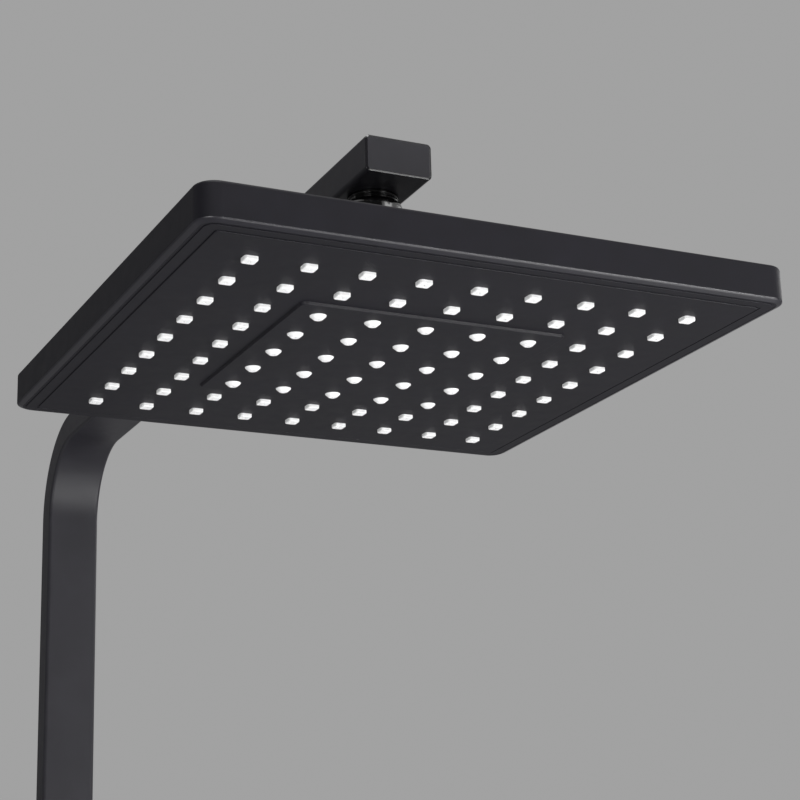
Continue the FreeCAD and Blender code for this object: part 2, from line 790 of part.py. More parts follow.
def bracket_sleeve():
    """Rectangular ring round the riser, screwed to the post from inside."""
    inner_width = tube_width + 2 * fit_gap
    inner_depth = tube_depth + 2 * fit_gap
    half = sleeve_height / 2
    wall = sleeve_wall
    sleeve = slab(inner_width + 2 * wall, inner_depth + 2 * wall, tube_corner + wall, -half, half)
    sleeve = round_level_edges(sleeve, sleeve_round, half)
    sleeve = round_level_edges(sleeve, sleeve_round, -half)
    sleeve = sleeve.cut(slab(inner_width, inner_depth, tube_corner, -half - 1, half + 1))
    sleeve.translate(Vector(0, riser_y, 0))
    sleeve = sleeve.cut(sleeve_screw_at(countersink(bracket_screw_length)))
    return sleeve.cut(grub_screw_rods(grub_screw_radius + fit_gap))


def grub_screw_rods(radius):
    """Rods through both side walls of the sleeve, up to the tube."""
    start = tube_width / 2 + fit_gap
    rods = []
    for side in (-1, 1):
        base = Vector(side * start, riser_y, 0)
        rods.append(Part.makeCylinder(radius, sleeve_wall, base, Vector(side, 0, 0)))
    return rods


def sleeve_screw():
    return sleeve_screw_at(countersunk_screw(bracket_screw_length))


def grub_screws():
    return Part.makeCompound(grub_screw_rods(grub_screw_radius))


sub_parts = (
    column_tube, arm_end_cap, outlet_nipple, ball_stem, filter_washer, flow_regulator,
    ball_seat, slip_ring, hub_socket, hub_seal, ball_nut, hub_lock_nut,
    head_cover, cover_seal, distribution_plate, chamber_screws, nozzle_mat_outer, nozzle_mat_inner,
    face_plate, face_screws, trim_frame, centre_panel,
    column_foot, union_washer, union_nut,
    wall_plate, post_screw, bracket_cover, bracket_post, bracket_sleeve, sleeve_screw, grub_screws,
)

os.makedirs("parts", exist_ok=True)
for make in sub_parts:
    shape = make()
    shape.exportStep(os.path.join("parts", make.__name__ + ".step"))
    print(make.__name__, len(shape.Solids), "solids", round(shape.Volume), "mm3", shape.isValid())
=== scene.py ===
# %% [markdown]
# # Overhead shower with a square rain head
# A rectangular tube climbs the wall, bends over the bather and carries a square head on a ball joint. The
# solids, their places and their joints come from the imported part. This script adds what the eye looks for:
# soft edges, separate silicone nozzles, finger grips, a thread and matte black finishes. Everything is in
# metres, in the frame of the solids.

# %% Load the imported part
import json
import math
import bmesh
import bpy
from mathutils import Matrix, Vector


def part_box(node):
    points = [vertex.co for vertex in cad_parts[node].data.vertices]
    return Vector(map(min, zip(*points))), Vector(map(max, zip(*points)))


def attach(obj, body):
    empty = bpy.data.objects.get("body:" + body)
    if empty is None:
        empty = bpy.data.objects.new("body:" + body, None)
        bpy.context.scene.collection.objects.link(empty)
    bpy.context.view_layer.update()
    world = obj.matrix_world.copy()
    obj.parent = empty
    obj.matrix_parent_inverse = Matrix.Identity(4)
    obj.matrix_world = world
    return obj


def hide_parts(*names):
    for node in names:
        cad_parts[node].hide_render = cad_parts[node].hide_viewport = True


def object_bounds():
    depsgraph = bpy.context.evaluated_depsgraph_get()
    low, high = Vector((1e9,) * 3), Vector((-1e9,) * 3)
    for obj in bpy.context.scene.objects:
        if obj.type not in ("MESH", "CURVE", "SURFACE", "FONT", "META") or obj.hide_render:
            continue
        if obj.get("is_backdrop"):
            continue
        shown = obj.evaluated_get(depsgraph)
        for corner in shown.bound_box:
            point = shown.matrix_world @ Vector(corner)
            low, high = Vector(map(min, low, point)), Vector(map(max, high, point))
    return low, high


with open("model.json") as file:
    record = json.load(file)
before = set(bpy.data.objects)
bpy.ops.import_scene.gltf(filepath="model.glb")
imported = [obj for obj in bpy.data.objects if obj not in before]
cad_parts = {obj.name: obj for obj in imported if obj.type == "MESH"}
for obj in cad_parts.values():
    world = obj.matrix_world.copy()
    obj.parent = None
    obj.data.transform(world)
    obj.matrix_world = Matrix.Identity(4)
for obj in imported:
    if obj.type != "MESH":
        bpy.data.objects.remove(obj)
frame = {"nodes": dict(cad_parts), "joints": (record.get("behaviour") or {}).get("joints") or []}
cad_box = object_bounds()
scene = bpy.context.scene
mm = 0.001

# %% [markdown]
# ## Where the picture is taken from
# The camera stands in front of the head, to its left and below it, and looks up. A long lens keeps the square
# head's sides almost parallel. Its place and its three angles were found by fitting the grid of nozzles, the
# head's edges and the tube. They could be set by eye with an empty as a target, but three angles and a
# place can be read and changed one at a time.

# %% Camera
focal_length = 90.468
film_width = 36.0
camera_place = Vector((-0.3331, -1.2038, -0.0423))
yaw, pitch, roll = (math.radians(angle) for angle in (25.770, 16.825, -1.664))
ahead = Vector((math.sin(yaw) * math.cos(pitch), math.cos(yaw) * math.cos(pitch), math.sin(pitch)))
level = Vector((math.cos(yaw), -math.sin(yaw), 0))
upright = level.cross(ahead)
right = math.cos(roll) * level + math.sin(roll) * upright
up = math.cos(roll) * upright - math.sin(roll) * level
camera = bpy.data.objects.new("camera", bpy.data.cameras.new("camera"))
camera.data.lens = focal_length
camera.data.sensor_width = film_width
camera.matrix_world = Matrix.Translation(camera_place) @ Matrix((right, up, -ahead)).transposed().to_4x4()
scene.collection.objects.link(camera)
scene.camera = camera
scene.view_settings.view_transform = "Standard"
print("camera looks up by", round(math.degrees(pitch), 1), "degrees")

# %% [markdown]
# ## Helpers for every node tree
# Shaders and Geometry Nodes are both trees of nodes with named sockets. A small helper that adds a node, sets
# its options and fills or links its inputs keeps each tree readable as a list of steps.


# %% Node helpers
def add(tree, kind, inputs=None, **options):
    """Adds a node, sets its options, then links or fills the inputs that are given.

    A kind without a prefix belongs to the tree's own family, such as ShaderNode or GeometryNode.
    """
    family = tree.bl_idname.removesuffix("Tree")
    node = tree.nodes.new(kind if "Node" in kind else family + kind)
    for option, value in options.items():
        setattr(node, option, value)
    for socket, value in (inputs or {}).items():
        if isinstance(value, bpy.types.NodeSocket):
            tree.links.new(value, node.inputs[socket])
        else:
            node.inputs[socket].default_value = value
    return node


def tools(tree):
    """For one tree: put adds any node, calc adds a Math node, and both give its first output."""
    def put(kind, inputs=None, **options):
        return add(tree, kind, inputs, **options).outputs[0]

    def calc(operation, *values):
        return put("ShaderNodeMath", dict(enumerate(values)), operation=operation)

    return put, calc


def new_group(name, kind, inputs, outputs):
    """Empty node group with named sockets, and its inner input and output sockets."""
    tree = bpy.data.node_groups.new(name, kind)
    for label, socket in inputs:
        tree.interface.new_socket(label, in_out="INPUT", socket_type="NodeSocket" + socket)
    for label, socket in outputs:
        tree.interface.new_socket(label, in_out="OUTPUT", socket_type="NodeSocket" + socket)
    given = tree.nodes.new("NodeGroupInput").outputs
    wanted = tree.nodes.new("NodeGroupOutput").inputs
    return tree, given, wanted


# %% [markdown]
# ## Light
# Black paint shows its form through what it reflects. A large soft box hangs overhead. A second lies near the
# floor and a small one fills in from the lower left, and these two light the nozzles. Four more only draw
# lines: along the bevel, along the arm's lower edge, down the fronts of the arm and the riser, and on the
# plated collar. The room that the camera and the reflections see is set apart from the room that lights the
# matte part, because a pale backdrop should not wash out black.

# %% Pale room
room = bpy.data.worlds.new("pale_room")
room.use_nodes = True
room.node_tree.nodes.clear()
put, calc = tools(room.node_tree)
rays = add(room.node_tree, "LightPath").outputs
seen = calc("MAXIMUM", rays["Is Camera Ray"], rays["Is Glossy Ray"])
seen = calc("MAXIMUM", seen, rays["Is Transmission Ray"])
glow = put("Background", {"Color": (1, 1, 1, 1), "Strength": 0.42})
backdrop = put("Background", {"Color": (1, 1, 1, 1), "Strength": 0.36})
mixed = put("MixShader", {0: seen, 1: glow, 2: backdrop})
add(room.node_tree, "OutputWorld", {"Surface": mixed})
scene.world = room
print("room:", room.name)


# %% Soft boxes
def soft_box(name, place, target, width, height, power, beam=180):
    """Rectangular lamp that faces a target. A narrow beam keeps a low lamp's light off the floor."""
    lamp = bpy.data.lights.new(name, "AREA")
    lamp.shape = "RECTANGLE"
    lamp.size = width
    lamp.size_y = height
    lamp.energy = power
    lamp.spread = math.radians(beam)
    box = bpy.data.objects.new(name, lamp)
    box.location = place
    box.rotation_euler = (Vector(target) - Vector(place)).to_track_quat("-Z", "Y").to_euler()
    box.visible_camera = False
    scene.collection.objects.link(box)


soft_box("top_soft_box", (-0.3, -1.5, 2.4), (0, -0.5, 0), 1.8, 1.8, 50)
soft_box("low_soft_box", (0.36, -0.77, -0.5), (0.1, -0.6, 0.2), 0.8, 0.8, 3.0, beam=110)
soft_box("fill_soft_box", (-0.75, -1.25, -0.3), (0, -0.5, 0.21), 0.5, 0.5, 0.75, beam=60)
soft_box("bevel_soft_box", (0.85, -1.55, -0.5), (0.05, -0.61, 0.21), 0.6, 0.4, 1.8, beam=60)
soft_box("edge_soft_box", (0.8, -2.2, -0.2), (0, -0.52, 0.28), 0.8, 0.3, 0.12, beam=32)
soft_box("front_soft_box", (1.3, -2.2, 0.95), (0, -0.45, 0.2), 1.2, 0.5, 2.85)
soft_box("side_soft_box", (1.9, -0.1, 0.85), (0, -0.5, 0.28), 2.0, 0.4, 6)
print("lamps:", [lamp.name for lamp in bpy.data.lights])

# %% [markdown]
# ## Floor
# A plain pale floor lies just below the union nut. From below it would hide the shower, so its back is clear.


# %% Rough sheets
def mottled(name, scale, dark, light, roughness):
    """Rough material whose tone wanders between two greys."""
    material = bpy.data.materials.new(name)
    material.use_nodes = True
    tree = material.node_tree
    shader = tree.nodes["Principled BSDF"]
    grain = add(tree, "TexNoise", {"Scale": scale})
    tone = add(tree, "MapRange", {0: grain.outputs[0], 3: dark, 4: light})
    tree.links.new(tone.outputs[0], shader.inputs["Base Color"])
    shader.inputs["Roughness"].default_value = roughness
    return material


def square_sheet(name, half, shift, material):
    """Flat square with its place in its mesh."""
    mesh = bpy.data.meshes.new(name)
    corners = [(-half, -half, 0), (half, -half, 0), (half, half, 0), (-half, half, 0)]
    mesh.from_pydata(corners, [], [(0, 1, 2, 3)])
    mesh.transform(shift)
    mesh.materials.append(material)
    sheet = bpy.data.objects.new(name, mesh)
    scene.collection.objects.link(sheet)
    return sheet


# %% Floor
floor_gap = 14 * mm
floor_half = 5.0
floor_z = cad_box[0].z - floor_gap
paper = mottled("pale_paper", 6.0, 0.40, 0.44, 0.9)
put = tools(paper.node_tree)[0]
front = paper.node_tree.nodes["Principled BSDF"].outputs[0]
behind = add(paper.node_tree, "NewGeometry").outputs["Backfacing"]
both = put("MixShader", {0: behind, 1: front, 2: put("BsdfTransparent")})
paper.node_tree.links.new(both, paper.node_tree.nodes["Material Output"].inputs["Surface"])
floor = square_sheet("floor", floor_half, Matrix.Translation((0, 0, floor_z)), paper)
floor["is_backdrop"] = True
print("floor at", round(floor_z, 4))

# %% [markdown]
# ## Cards
# A photographer stands cards where black sides and corners would mirror the pale room. A grey one is at the
# back left, and two dark ones are at the front left and the left. Only reflections meet them, so they take no
# light away and show in no picture.


# %% Grey and dark cards
def reflection_card(name, place, half, dark, light):
    """Felt card that faces the head and that only reflections meet."""
    felt = mottled(name + "_felt", 40.0, dark, light, 1.0)
    facing = (Vector((0, -0.5, 0.2)) - Vector(place)).to_track_quat("Z", "Y").to_matrix().to_4x4()
    card = square_sheet(name, half, Matrix.Translation(place) @ facing, felt)
    card.visible_camera = False
    card.visible_diffuse = False
    card.visible_shadow = False
    card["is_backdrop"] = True


reflection_card("grey_card", (-1.0, 1.3, 0.6), 1.2, 0.19, 0.22)
reflection_card("front_card", (-0.8, -2.3, 0.8), 1.3, 0.01, 0.03)
reflection_card("left_card", (-2.0, -0.7, 0.8), 0.9, 0.01, 0.03)
print("cards stand at the left")

# %% [markdown]
# ## Finishes
# Three effects serve all the finishes. Sprayed coats and moulded plastic share a fine grain with slow
# changes of tone and gloss. Silicone and rubber share a cloudy bloom with a few specks. Turned and plated
# metal shares fine lathe lines round an axis. Each effect is a node group that gives a colour, a roughness and
# a height, and each finish places a group with its own values. Painted image maps would need to be unwrapped
# for every piece, while these patterns follow the object's own coordinates.

# %% Grain of sprayed coats and moulded plastic
pattern_ranges = ("Dark", "Light", "Least roughness", "Most roughness")
pattern_inputs = list(zip(pattern_ranges, ("Color", "Color", "Float", "Float")))
pattern_outputs = [("Colour", "Color"), ("Roughness", "Float"), ("Height", "Float")]


def shade(tree, given, wanted, tone, gloss, height):
    """Ends a pattern: tone picks the colour and gloss picks the roughness."""
    colour = add(tree, "Mix", {0: tone, 6: given["Dark"], 7: given["Light"]}, data_type="RGBA")
    rough = add(tree, "MapRange", {0: gloss, 3: given["Least roughness"], 4: given["Most roughness"]})
    tree.links.new(colour.outputs[2], wanted["Colour"])
    tree.links.new(rough.outputs[0], wanted["Roughness"])
    tree.links.new(height, wanted["Height"])
    print("pattern:", tree.name)


coat_grain, given, wanted = new_group(
    "coat_grain", "ShaderNodeTree", pattern_inputs + [("Grain size", "Float")], pattern_outputs)
put, calc = tools(coat_grain)
place = add(coat_grain, "TexCoord").outputs["Object"]
grain_scale = calc("DIVIDE", 1.0, given["Grain size"])
grain = put("TexNoise", {"Vector": place, "Scale": grain_scale, "Detail": 3.0})
drift = put("TexNoise", {"Vector": place, "Scale": 16.0, "Detail": 4.0, "Roughness": 0.6})
haze = put("TexNoise", {"Vector": place, "Scale": 130.0, "Detail": 3.0})
tone = calc("MULTIPLY", calc("MULTIPLY", drift, haze), 2.0)
shade(coat_grain, given, wanted, tone, haze, grain)

# %% Bloom of silicone and rubber
soft_bloom, given, wanted = new_group("soft_bloom", "ShaderNodeTree", pattern_inputs, pattern_outputs)
put, calc = tools(soft_bloom)
place = add(soft_bloom, "TexCoord").outputs["Object"]
cloud = put("TexNoise", {"Vector": place, "Scale": 90.0, "Detail": 4.0})
skin_grain = put("TexNoise", {"Vector": place, "Scale": 1400.0, "Detail": 2.0})
specks = put("TexVoronoi", {"Vector": place, "Scale": 260.0})
speck = put("MapRange", {0: specks, 1: 0.05, 2: 0.16})
tone = calc("MULTIPLY", calc("MULTIPLY", cloud, speck), 1.6)
shade(soft_bloom, given, wanted, tone, cloud, skin_grain)

# %% Lathe lines of turned metal
lathe_inputs = pattern_inputs + [("Axis", "Vector"), ("Line width", "Float")]
lathe_lines, given, wanted = new_group("lathe_lines", "ShaderNodeTree", lathe_inputs, pattern_outputs)
put, calc = tools(lathe_lines)
place = add(lathe_lines, "TexCoord").outputs["Object"]
centred = put("VectorMath", {0: place, 1: given["Axis"]}, operation="SUBTRACT")
parts = add(lathe_lines, "SeparateXYZ", {0: centred}).outputs
across = put("CombineXYZ", {0: parts[0], 1: parts[1]})
radius = add(lathe_lines, "VectorMath", {0: across}, operation="LENGTH").outputs["Value"]
along = put("CombineXYZ", {0: radius, 2: parts[2]})
line_scale = calc("DIVIDE", 1.0, given["Line width"])
lines = put("TexNoise", {"Vector": along, "Scale": line_scale, "Detail": 2.0})
smudge = put("TexNoise", {"Vector": place, "Scale": 120.0, "Detail": 3.0})
gloss = calc("MULTIPLY", lines, calc("MULTIPLY", smudge, 2.0))
shade(lathe_lines, given, wanted, smudge, gloss, lines)


# %% Making a finish
def shades(dark, light, cool=0.0):
    """Darkest and lightest tone of a finish, neutral or with a cool cast of violet."""
    return [(value * (1 + 0.15 * cool), value, value * (1 + cool), 1) for value in (dark, light)]


def finish(name, group, tones, gloss, relief, values, constants):
    """Material whose colour, roughness and relief come from a pattern, with plain constants on the shader."""
    material = bpy.data.materials.new(name)
    material.use_nodes = True
    tree = material.node_tree
    shader = tree.nodes["Principled BSDF"]
    ranges = dict(zip(pattern_ranges, (*tones, *gloss)))
    pattern = add(tree, "Group", {**ranges, **values}, node_tree=group).outputs
    bump = add(tree, "Bump", {"Height": pattern["Height"], "Strength": 0.35, "Distance": relief})
    tree.links.new(pattern["Colour"], shader.inputs["Base Color"])
    tree.links.new(pattern["Roughness"], shader.inputs["Roughness"])
    tree.links.new(bump.outputs[0], shader.inputs["Normal"])
    for label, value in constants.items():
        shader.inputs[label].default_value = value
    return material


# %% Coats and plastics
def coat(name, tones, gloss, relief, grain, specular=0.5):
    """Sprayed or moulded finish with a fine grain."""
    constants = {"Specular IOR Level": specular}
    return finish(name, coat_grain, tones, gloss, relief, {"Grain size": grain}, constants)


powder_coat = coat("black_powder_coat", shades(0.014, 0.021, 0.3), (0.36, 0.5), 0.02 * mm, 0.5 * mm, 0.45)
head_coat = coat("black_head_coat", shades(0.004, 0.007, 0.6), (0.44, 0.56), 0.012 * mm, 0.35 * mm, 0.25)
rim_coat = coat("rubbed_rim_coat", shades(0.006, 0.010, 0.6), (0.32, 0.42), 0.008 * mm, 0.35 * mm)
edge_coat = coat("rubbed_edge_coat", shades(0.006, 0.010, 0.3), (0.18, 0.26), 0.008 * mm, 0.5 * mm, 1.0)
grey_plastic = coat("grey_plastic", shades(0.26, 0.34), (0.4, 0.55), 0.01 * mm, 0.6 * mm)
black_plastic = coat("black_plastic", shades(0.012, 0.02), (0.4, 0.55), 0.012 * mm, 0.4 * mm)
print("coats and plastics are mixed")

# %% Silicone and rubber
light_depth = 2.5 * mm
silicone = finish("white_silicone", soft_bloom, shades(0.85, 0.93), (0.38, 0.52), 0.01 * mm, {},
                  {"Subsurface Weight": 0.5, "Subsurface Radius": (light_depth, light_depth, light_depth)})
rubber = finish("black_rubber", soft_bloom, shades(0.012, 0.024), (0.6, 0.8), 0.02 * mm, {},
                {"Specular IOR Level": 0.4})
print("silicone and rubber are mixed")

# %% Metals
joint_axis = Vector(next(joint["pos_m"] for joint in frame["joints"] if joint["name"] == "head_spin"))
union_axis = Vector(next(joint["pos_m"] for joint in frame["joints"] if joint["name"] == "union_turn"))


def turned_metal(name, tones, gloss, axis, line_width):
    """Plated or bare metal with lathe lines round an axis."""
    values = {"Axis": axis, "Line width": line_width}
    return finish(name, lathe_lines, tones, gloss, 0.004 * mm, values, {"Metallic": 1.0})


joint_plating = turned_metal("black_joint_plating", shades(0.18, 0.24), (0.08, 0.18), joint_axis, 0.12 * mm)
collar_plating = turned_metal("black_collar_plating", shades(0.065, 0.09), (0.1, 0.2), joint_axis, 0.12 * mm)
nut_plating = turned_metal("black_nut_plating", shades(0.035, 0.055), (0.16, 0.3), union_axis, 0.15 * mm)
steel = turned_metal("stainless_steel", shades(0.5, 0.62), (0.24, 0.42), (0, 0, 0), 0.3 * mm)
print("finishes:", len(bpy.data.materials))

# %% [markdown]
# ## Shaping helpers
# Most pieces are one section carried round an outline: a rounded square for the head, a circle for the joint.
# Rings of points with the same count can be skinned with quads whatever their outline, so a square ring may
# lead into a round one, as the cover's top does at its hub. Corners of a section are rounded before the rings
# are made, which gives even bevels without a modifier.


# %% Rings and sections
def square_ring(width, depth, corner, z, steps=15):
    """Points of a rounded rectangle, round from the right side."""
    points = []
    for quarter, (i, j) in enumerate(((1, 1), (-1, 1), (-1, -1), (1, -1))):
        for step in range(steps + 1):
            angle = math.radians(90 * (quarter + step / steps))
            x = i * (width / 2 - corner) + corner * math.cos(angle)
            y = j * (depth / 2 - corner) + corner * math.sin(angle)
            points.append(Vector((x, y, z)))
    return points


def inset_rings(section, width, depth, corner, least=0.0, steps=15):
    """Rings of a section of (inset, height) points that is carried round a rounded rectangle."""
    return [square_ring(width - 2 * point.x, depth - 2 * point.x, max(corner - point.x, least), point.y, steps)
            for point in section]


def round_ring(radius, z, count=64):
    """Points of a circle that match the order of a rounded rectangle."""
    angles = [math.tau * (step + 0.5) / count for step in range(count)]
    return [Vector((radius * math.cos(angle), radius * math.sin(angle), z)) for angle in angles]


def eased(section, steps=4):
    """Rounds those corners of a section of (across, height) points that also have an edge radius."""
    points = []
    count = len(section)
    for index, (across, height, *edge) in enumerate(section):
        here = Vector((across, height))
        if not edge:
            points.append(here)
            continue
        back = Vector(section[index - 1][:2]) - here
        front = Vector(section[(index + 1) % count][:2]) - here
        half = back.angle(front) / 2
        reach = min(edge[0] / math.tan(half), 0.49 * back.length, 0.49 * front.length)
        middle = here + (back.normalized() + front.normalized()).normalized() * (reach / math.cos(half))
        first = here + back.normalized() * reach - middle
        last = here + front.normalized() * reach - middle
        turn = first.angle_signed(last)
        for step in range(steps + 1):
            points.append(middle + Matrix.Rotation(-turn * step / steps, 2) @ first)
    return points


# %% Skins
def new_piece(name, bm):
    """Object from a bmesh, with its faces turned outwards."""
    bmesh.ops.recalc_face_normals(bm, faces=bm.faces[:])
    mesh = bpy.data.meshes.new(name)
    bm.to_mesh(mesh)
    bm.free()
    piece = bpy.data.objects.new(name, mesh)
    scene.collection.objects.link(piece)
    return piece


def skin(name, *stacks, ends="joined"):
    """Piece of quads between rings. The two ends of a stack are joined, capped or left open."""
    bm = bmesh.new()
    for rings in stacks:
        rows = [[bm.verts.new(point) for point in ring] for ring in rings]
        pairs = list(zip(rows, rows[1:]))
        if ends == "joined":
            pairs.append((rows[-1], rows[0]))
        elif ends == "capped":
            bm.faces.new(rows[0])
            bm.faces.new(rows[-1])
        for low, high in pairs:
            for i in range(len(low)):
                bm.faces.new((low[i - 1], low[i], high[i], high[i - 1]))
    return new_piece(name, bm)


def turned(name, section, count=96):
    """Piece turned about Z from a section of radii and heights."""
    return skin(name, [round_ring(point.x, point.y, count) for point in eased(section)])


# %% Setting a piece in its place
def plain(piece):
    """Turns what the modifiers make into an ordinary mesh."""
    graph = bpy.context.evaluated_depsgraph_get()
    shown = piece.evaluated_get(graph)
    mesh = bpy.data.meshes.new_from_object(shown, preserve_all_data_layers=True, depsgraph=graph)
    piece.modifiers.clear()
    piece.data = mesh
    return piece


def soften(piece, sharp=42):
    """Smooth shading that keeps flat faces flat and hard corners hard."""
    piece.data.shade_smooth()
    piece.data.set_sharp_from_angle(angle=math.radians(sharp))
    even = piece.modifiers.new("even_normals", "WEIGHTED_NORMAL")
    even.keep_sharp = True
    return plain(piece)


def settle(piece, shift, material, body, slot, *nodes):
    """Moves a mesh to its place, gives it its finish and lets it stand for its solids on a body."""
    piece.data.transform(shift)
    soften(piece)
    if material:
        piece.data.materials.clear()
        piece.data.materials.append(material)
    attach(piece, body)
    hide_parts(*nodes)
    print(piece.name, len(piece.data.polygons), "faces, for", ", ".join(nodes))


def rub(piece, coat, chosen):
    """Gives the chosen faces of a coated piece the gloss that hands and cloths rub on to edges."""
    piece.data.materials.append(coat)
    edge_faces = [face for face in piece.data.polygons if chosen(face)]
    for face in edge_faces:
        face.material_index = len(piece.data.materials) - 1
    print(piece.name, "has", len(edge_faces), "rubbed faces")


# %% [markdown]
# ## Growing pieces with Geometry Nodes
# A piece that follows a path or repeats is a tree with named inputs. The tree runs on an empty mesh, its
# inputs are set by their identifiers, and the result is kept as a plain mesh. Points set one by one would give
# the same mesh, but a tree can be run again with other sizes.


# %% Run a tree
def grow(name, tree, values):
    """Runs a geometry tree, keeps the mesh that it makes and clears its helper objects away."""
    piece = bpy.data.objects.new(name, bpy.data.meshes.new(name))
    scene.collection.objects.link(piece)
    modifier = piece.modifiers.new(tree.name, "NODES")
    modifier.node_group = tree
    for item in tree.interface.items_tree:
        if item.in_out == "INPUT" and item.name in values:
            modifier[item.identifier] = values[item.name]
    plain(piece)
    for value in values.values():
        if isinstance(value, bpy.types.Object):
            bpy.data.objects.remove(value)
    return piece


def ending(tree, mesh, finish_socket, wanted):
    """Every tree ends here: real geometry with its finish."""
    real = add(tree, "RealizeInstances", {"Geometry": mesh})
    painted = add(tree, "SetMaterial", {"Geometry": real.outputs[0], "Material": finish_socket})
    tree.links.new(painted.outputs[0], wanted["Mesh"])


# %% Parts that the trees share
weld_gap = 2e-6


def shape_of(tree, socket):
    """Geometry of the object that a socket names."""
    return add(tree, "ObjectInfo", {"Object": socket}).outputs["Geometry"]


def joined(tree, *sockets):
    """One geometry from several."""
    join = add(tree, "JoinGeometry")
    for socket in sockets:
        tree.links.new(socket, join.inputs[0])
    return join.outputs[0]


def outward(piece):
    """Merges the seams of a mesh and turns its faces outwards."""
    bm = bmesh.new()
    bm.from_mesh(piece.data)
    bmesh.ops.remove_doubles(bm, verts=bm.verts[:], dist=weld_gap)
    bmesh.ops.recalc_face_normals(bm, faces=bm.faces[:])
    bm.to_mesh(piece.data)
    bm.free()
    return piece


# %% [markdown]
# ## The column
# The real column is a rectangular steel tube, bent once and powder coated. Here a line with one corner is
# filleted to the bend's radius and a rounded rectangle is swept along it. A bevelled curve object would do the
# same, but the tree keeps the foot, the corner, the end and the section as named inputs.

# %% Swept tube
swept_tube, given, wanted = new_group("swept_tube", "GeometryNodeTree", [
    ("Foot", "Vector"), ("Corner", "Vector"), ("End", "Vector"), ("Bend radius", "Float"), ("Width", "Float"),
    ("Depth", "Float"), ("Section corner", "Float"), ("Finish", "Material")], [("Mesh", "Geometry")])
put = tools(swept_tube)[0]
line = put("MeshLine", {"Count": 3})
stop = add(swept_tube, "IndexSwitch", data_type="VECTOR")
stop.index_switch_items.new()
swept_tube.links.new(put("InputIndex"), stop.inputs["Index"])
for number, label in enumerate(("Foot", "Corner", "End")):
    swept_tube.links.new(given[label], stop.inputs[str(number)])
route = put("SetPosition", {"Geometry": line, "Position": stop.outputs[0]})
path = put("MeshToCurve", {"Mesh": route})
bend = put("FilletCurve", {"Curve": path, "Count": 28, "Radius": given["Bend radius"]}, mode="POLY")
flat = put("CurvePrimitiveQuadrilateral", {"Width": given["Width"], "Height": given["Depth"]})
section = put("FilletCurve", {"Curve": flat, "Count": 7, "Radius": given["Section corner"]}, mode="POLY")
tube = put("CurveToMesh", {"Curve": bend, "Profile Curve": section, "Fill Caps": True})
ending(swept_tube, tube, given["Finish"], wanted)
print("tree:", swept_tube.name)

# %% Column
tube_low, tube_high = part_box("column_tube")
cap_low, cap_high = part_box("arm_end_cap")
tube_width = tube_high.x - tube_low.x
tube_depth = cap_high.z - cap_low.z
tube_corner = 2.0 * mm
bend_radius = 48.0 * mm
riser_y = tube_high.y - tube_depth / 2
arm_z = tube_high.z - tube_depth / 2
column = grow("column", swept_tube, {
    "Foot": (0, riser_y, tube_low.z), "Corner": (0, riser_y, arm_z), "End": (0, tube_low.y, arm_z),
    "Bend radius": bend_radius, "Width": tube_width, "Depth": tube_depth, "Section corner": tube_corner,
    "Finish": powder_coat})
settle(outward(column), Matrix(), None, "column", "black_painted_metal", "column_tube")

# %% [markdown]
# ## The plug in the arm's end
# A flat plug closes the arm. Its front edge has a narrow bevel, which is the first thing to catch the light
# from the room. The plug is a stack of rounded rectangles, turned to face the room. A bevel modifier would do
# as well, but a stack keeps the bevel's width and drop apart.

# %% Arm end
to_room = Matrix.Rotation(math.radians(90), 4, "X")
cap_bevel = 1.0 * mm
cap_bevel_drop = 0.32 * mm
cap_plate = 2.0 * mm
tube_wall = 1.5 * mm
plug_play = 0.1 * mm
plug_inset = tube_wall + plug_play
plug_length = cap_high.y - cap_low.y - cap_plate
cap_section = eased([
    (plug_inset, -plug_length), (plug_inset, 0), (0, 0), (0, cap_plate - cap_bevel_drop, 0.3 * mm),
    (cap_bevel, cap_plate, 2.0 * mm), (cap_bevel * 2, cap_plate)])
cap_rings = inset_rings(cap_section, tube_width, tube_depth, tube_corner, least=0.6 * mm)
arm_end = skin("arm_end", cap_rings, ends="capped")
cap_place = Matrix.Translation((0, cap_low.y + cap_plate, arm_z)) @ to_room
settle(arm_end, cap_place, powder_coat, "column", "black_painted_metal", "arm_end_cap")
bevel_reach = cap_low.y + cap_plate / 2
rub(arm_end, edge_coat, lambda face: face.center.y < bevel_reach and -0.99 < face.normal.y < -0.1)

# %% [markdown]
# ## The ball joint
# Below the arm sits a plated collar, then a nut that ends in a neck and a ball. A fluted nut holds the ball in
# its socket, and a second one clamps the socket to the head. These are lathe work, so each is a section turned
# about the joint's axis. A screw modifier would turn it too, but rings can be pressed in on two sides before
# they are skinned, which gives the swivel nut its flats for a spanner.

# %% Collar
nipple_low, nipple_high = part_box("outlet_nipple")
collar_radius = (nipple_high.x - nipple_low.x) / 2
arm_under = tube_high.z - tube_depth
collar_height = 3.0 * mm
thread_radius = 10.48 * mm
thread_end = nipple_low.z - arm_under
spigot_top = nipple_high.z - arm_under
nipple_bore = 7.0 * mm
spigot_radius = 9.0 * mm
bead_gap = -1.5 * mm
bead_round = 0.3 * mm
bead_depth = 0.4 * mm
collar = turned("arm_collar", [
    (nipple_bore, thread_end), (thread_radius, thread_end, 0.4 * mm), (thread_radius, -collar_height),
    (collar_radius, -collar_height, bead_round), (collar_radius, bead_gap - bead_round, bead_round),
    (collar_radius - bead_depth, bead_gap, 0.1 * mm), (collar_radius, bead_gap + bead_round, bead_round),
    (collar_radius, 0, bead_round), (spigot_radius, 0), (spigot_radius, spigot_top),
    (nipple_bore, spigot_top)])
under_arm = Matrix.Translation((joint_axis.x, joint_axis.y, arm_under))
settle(collar, under_arm, collar_plating, "column", "black_plated_brass", "outlet_nipple")

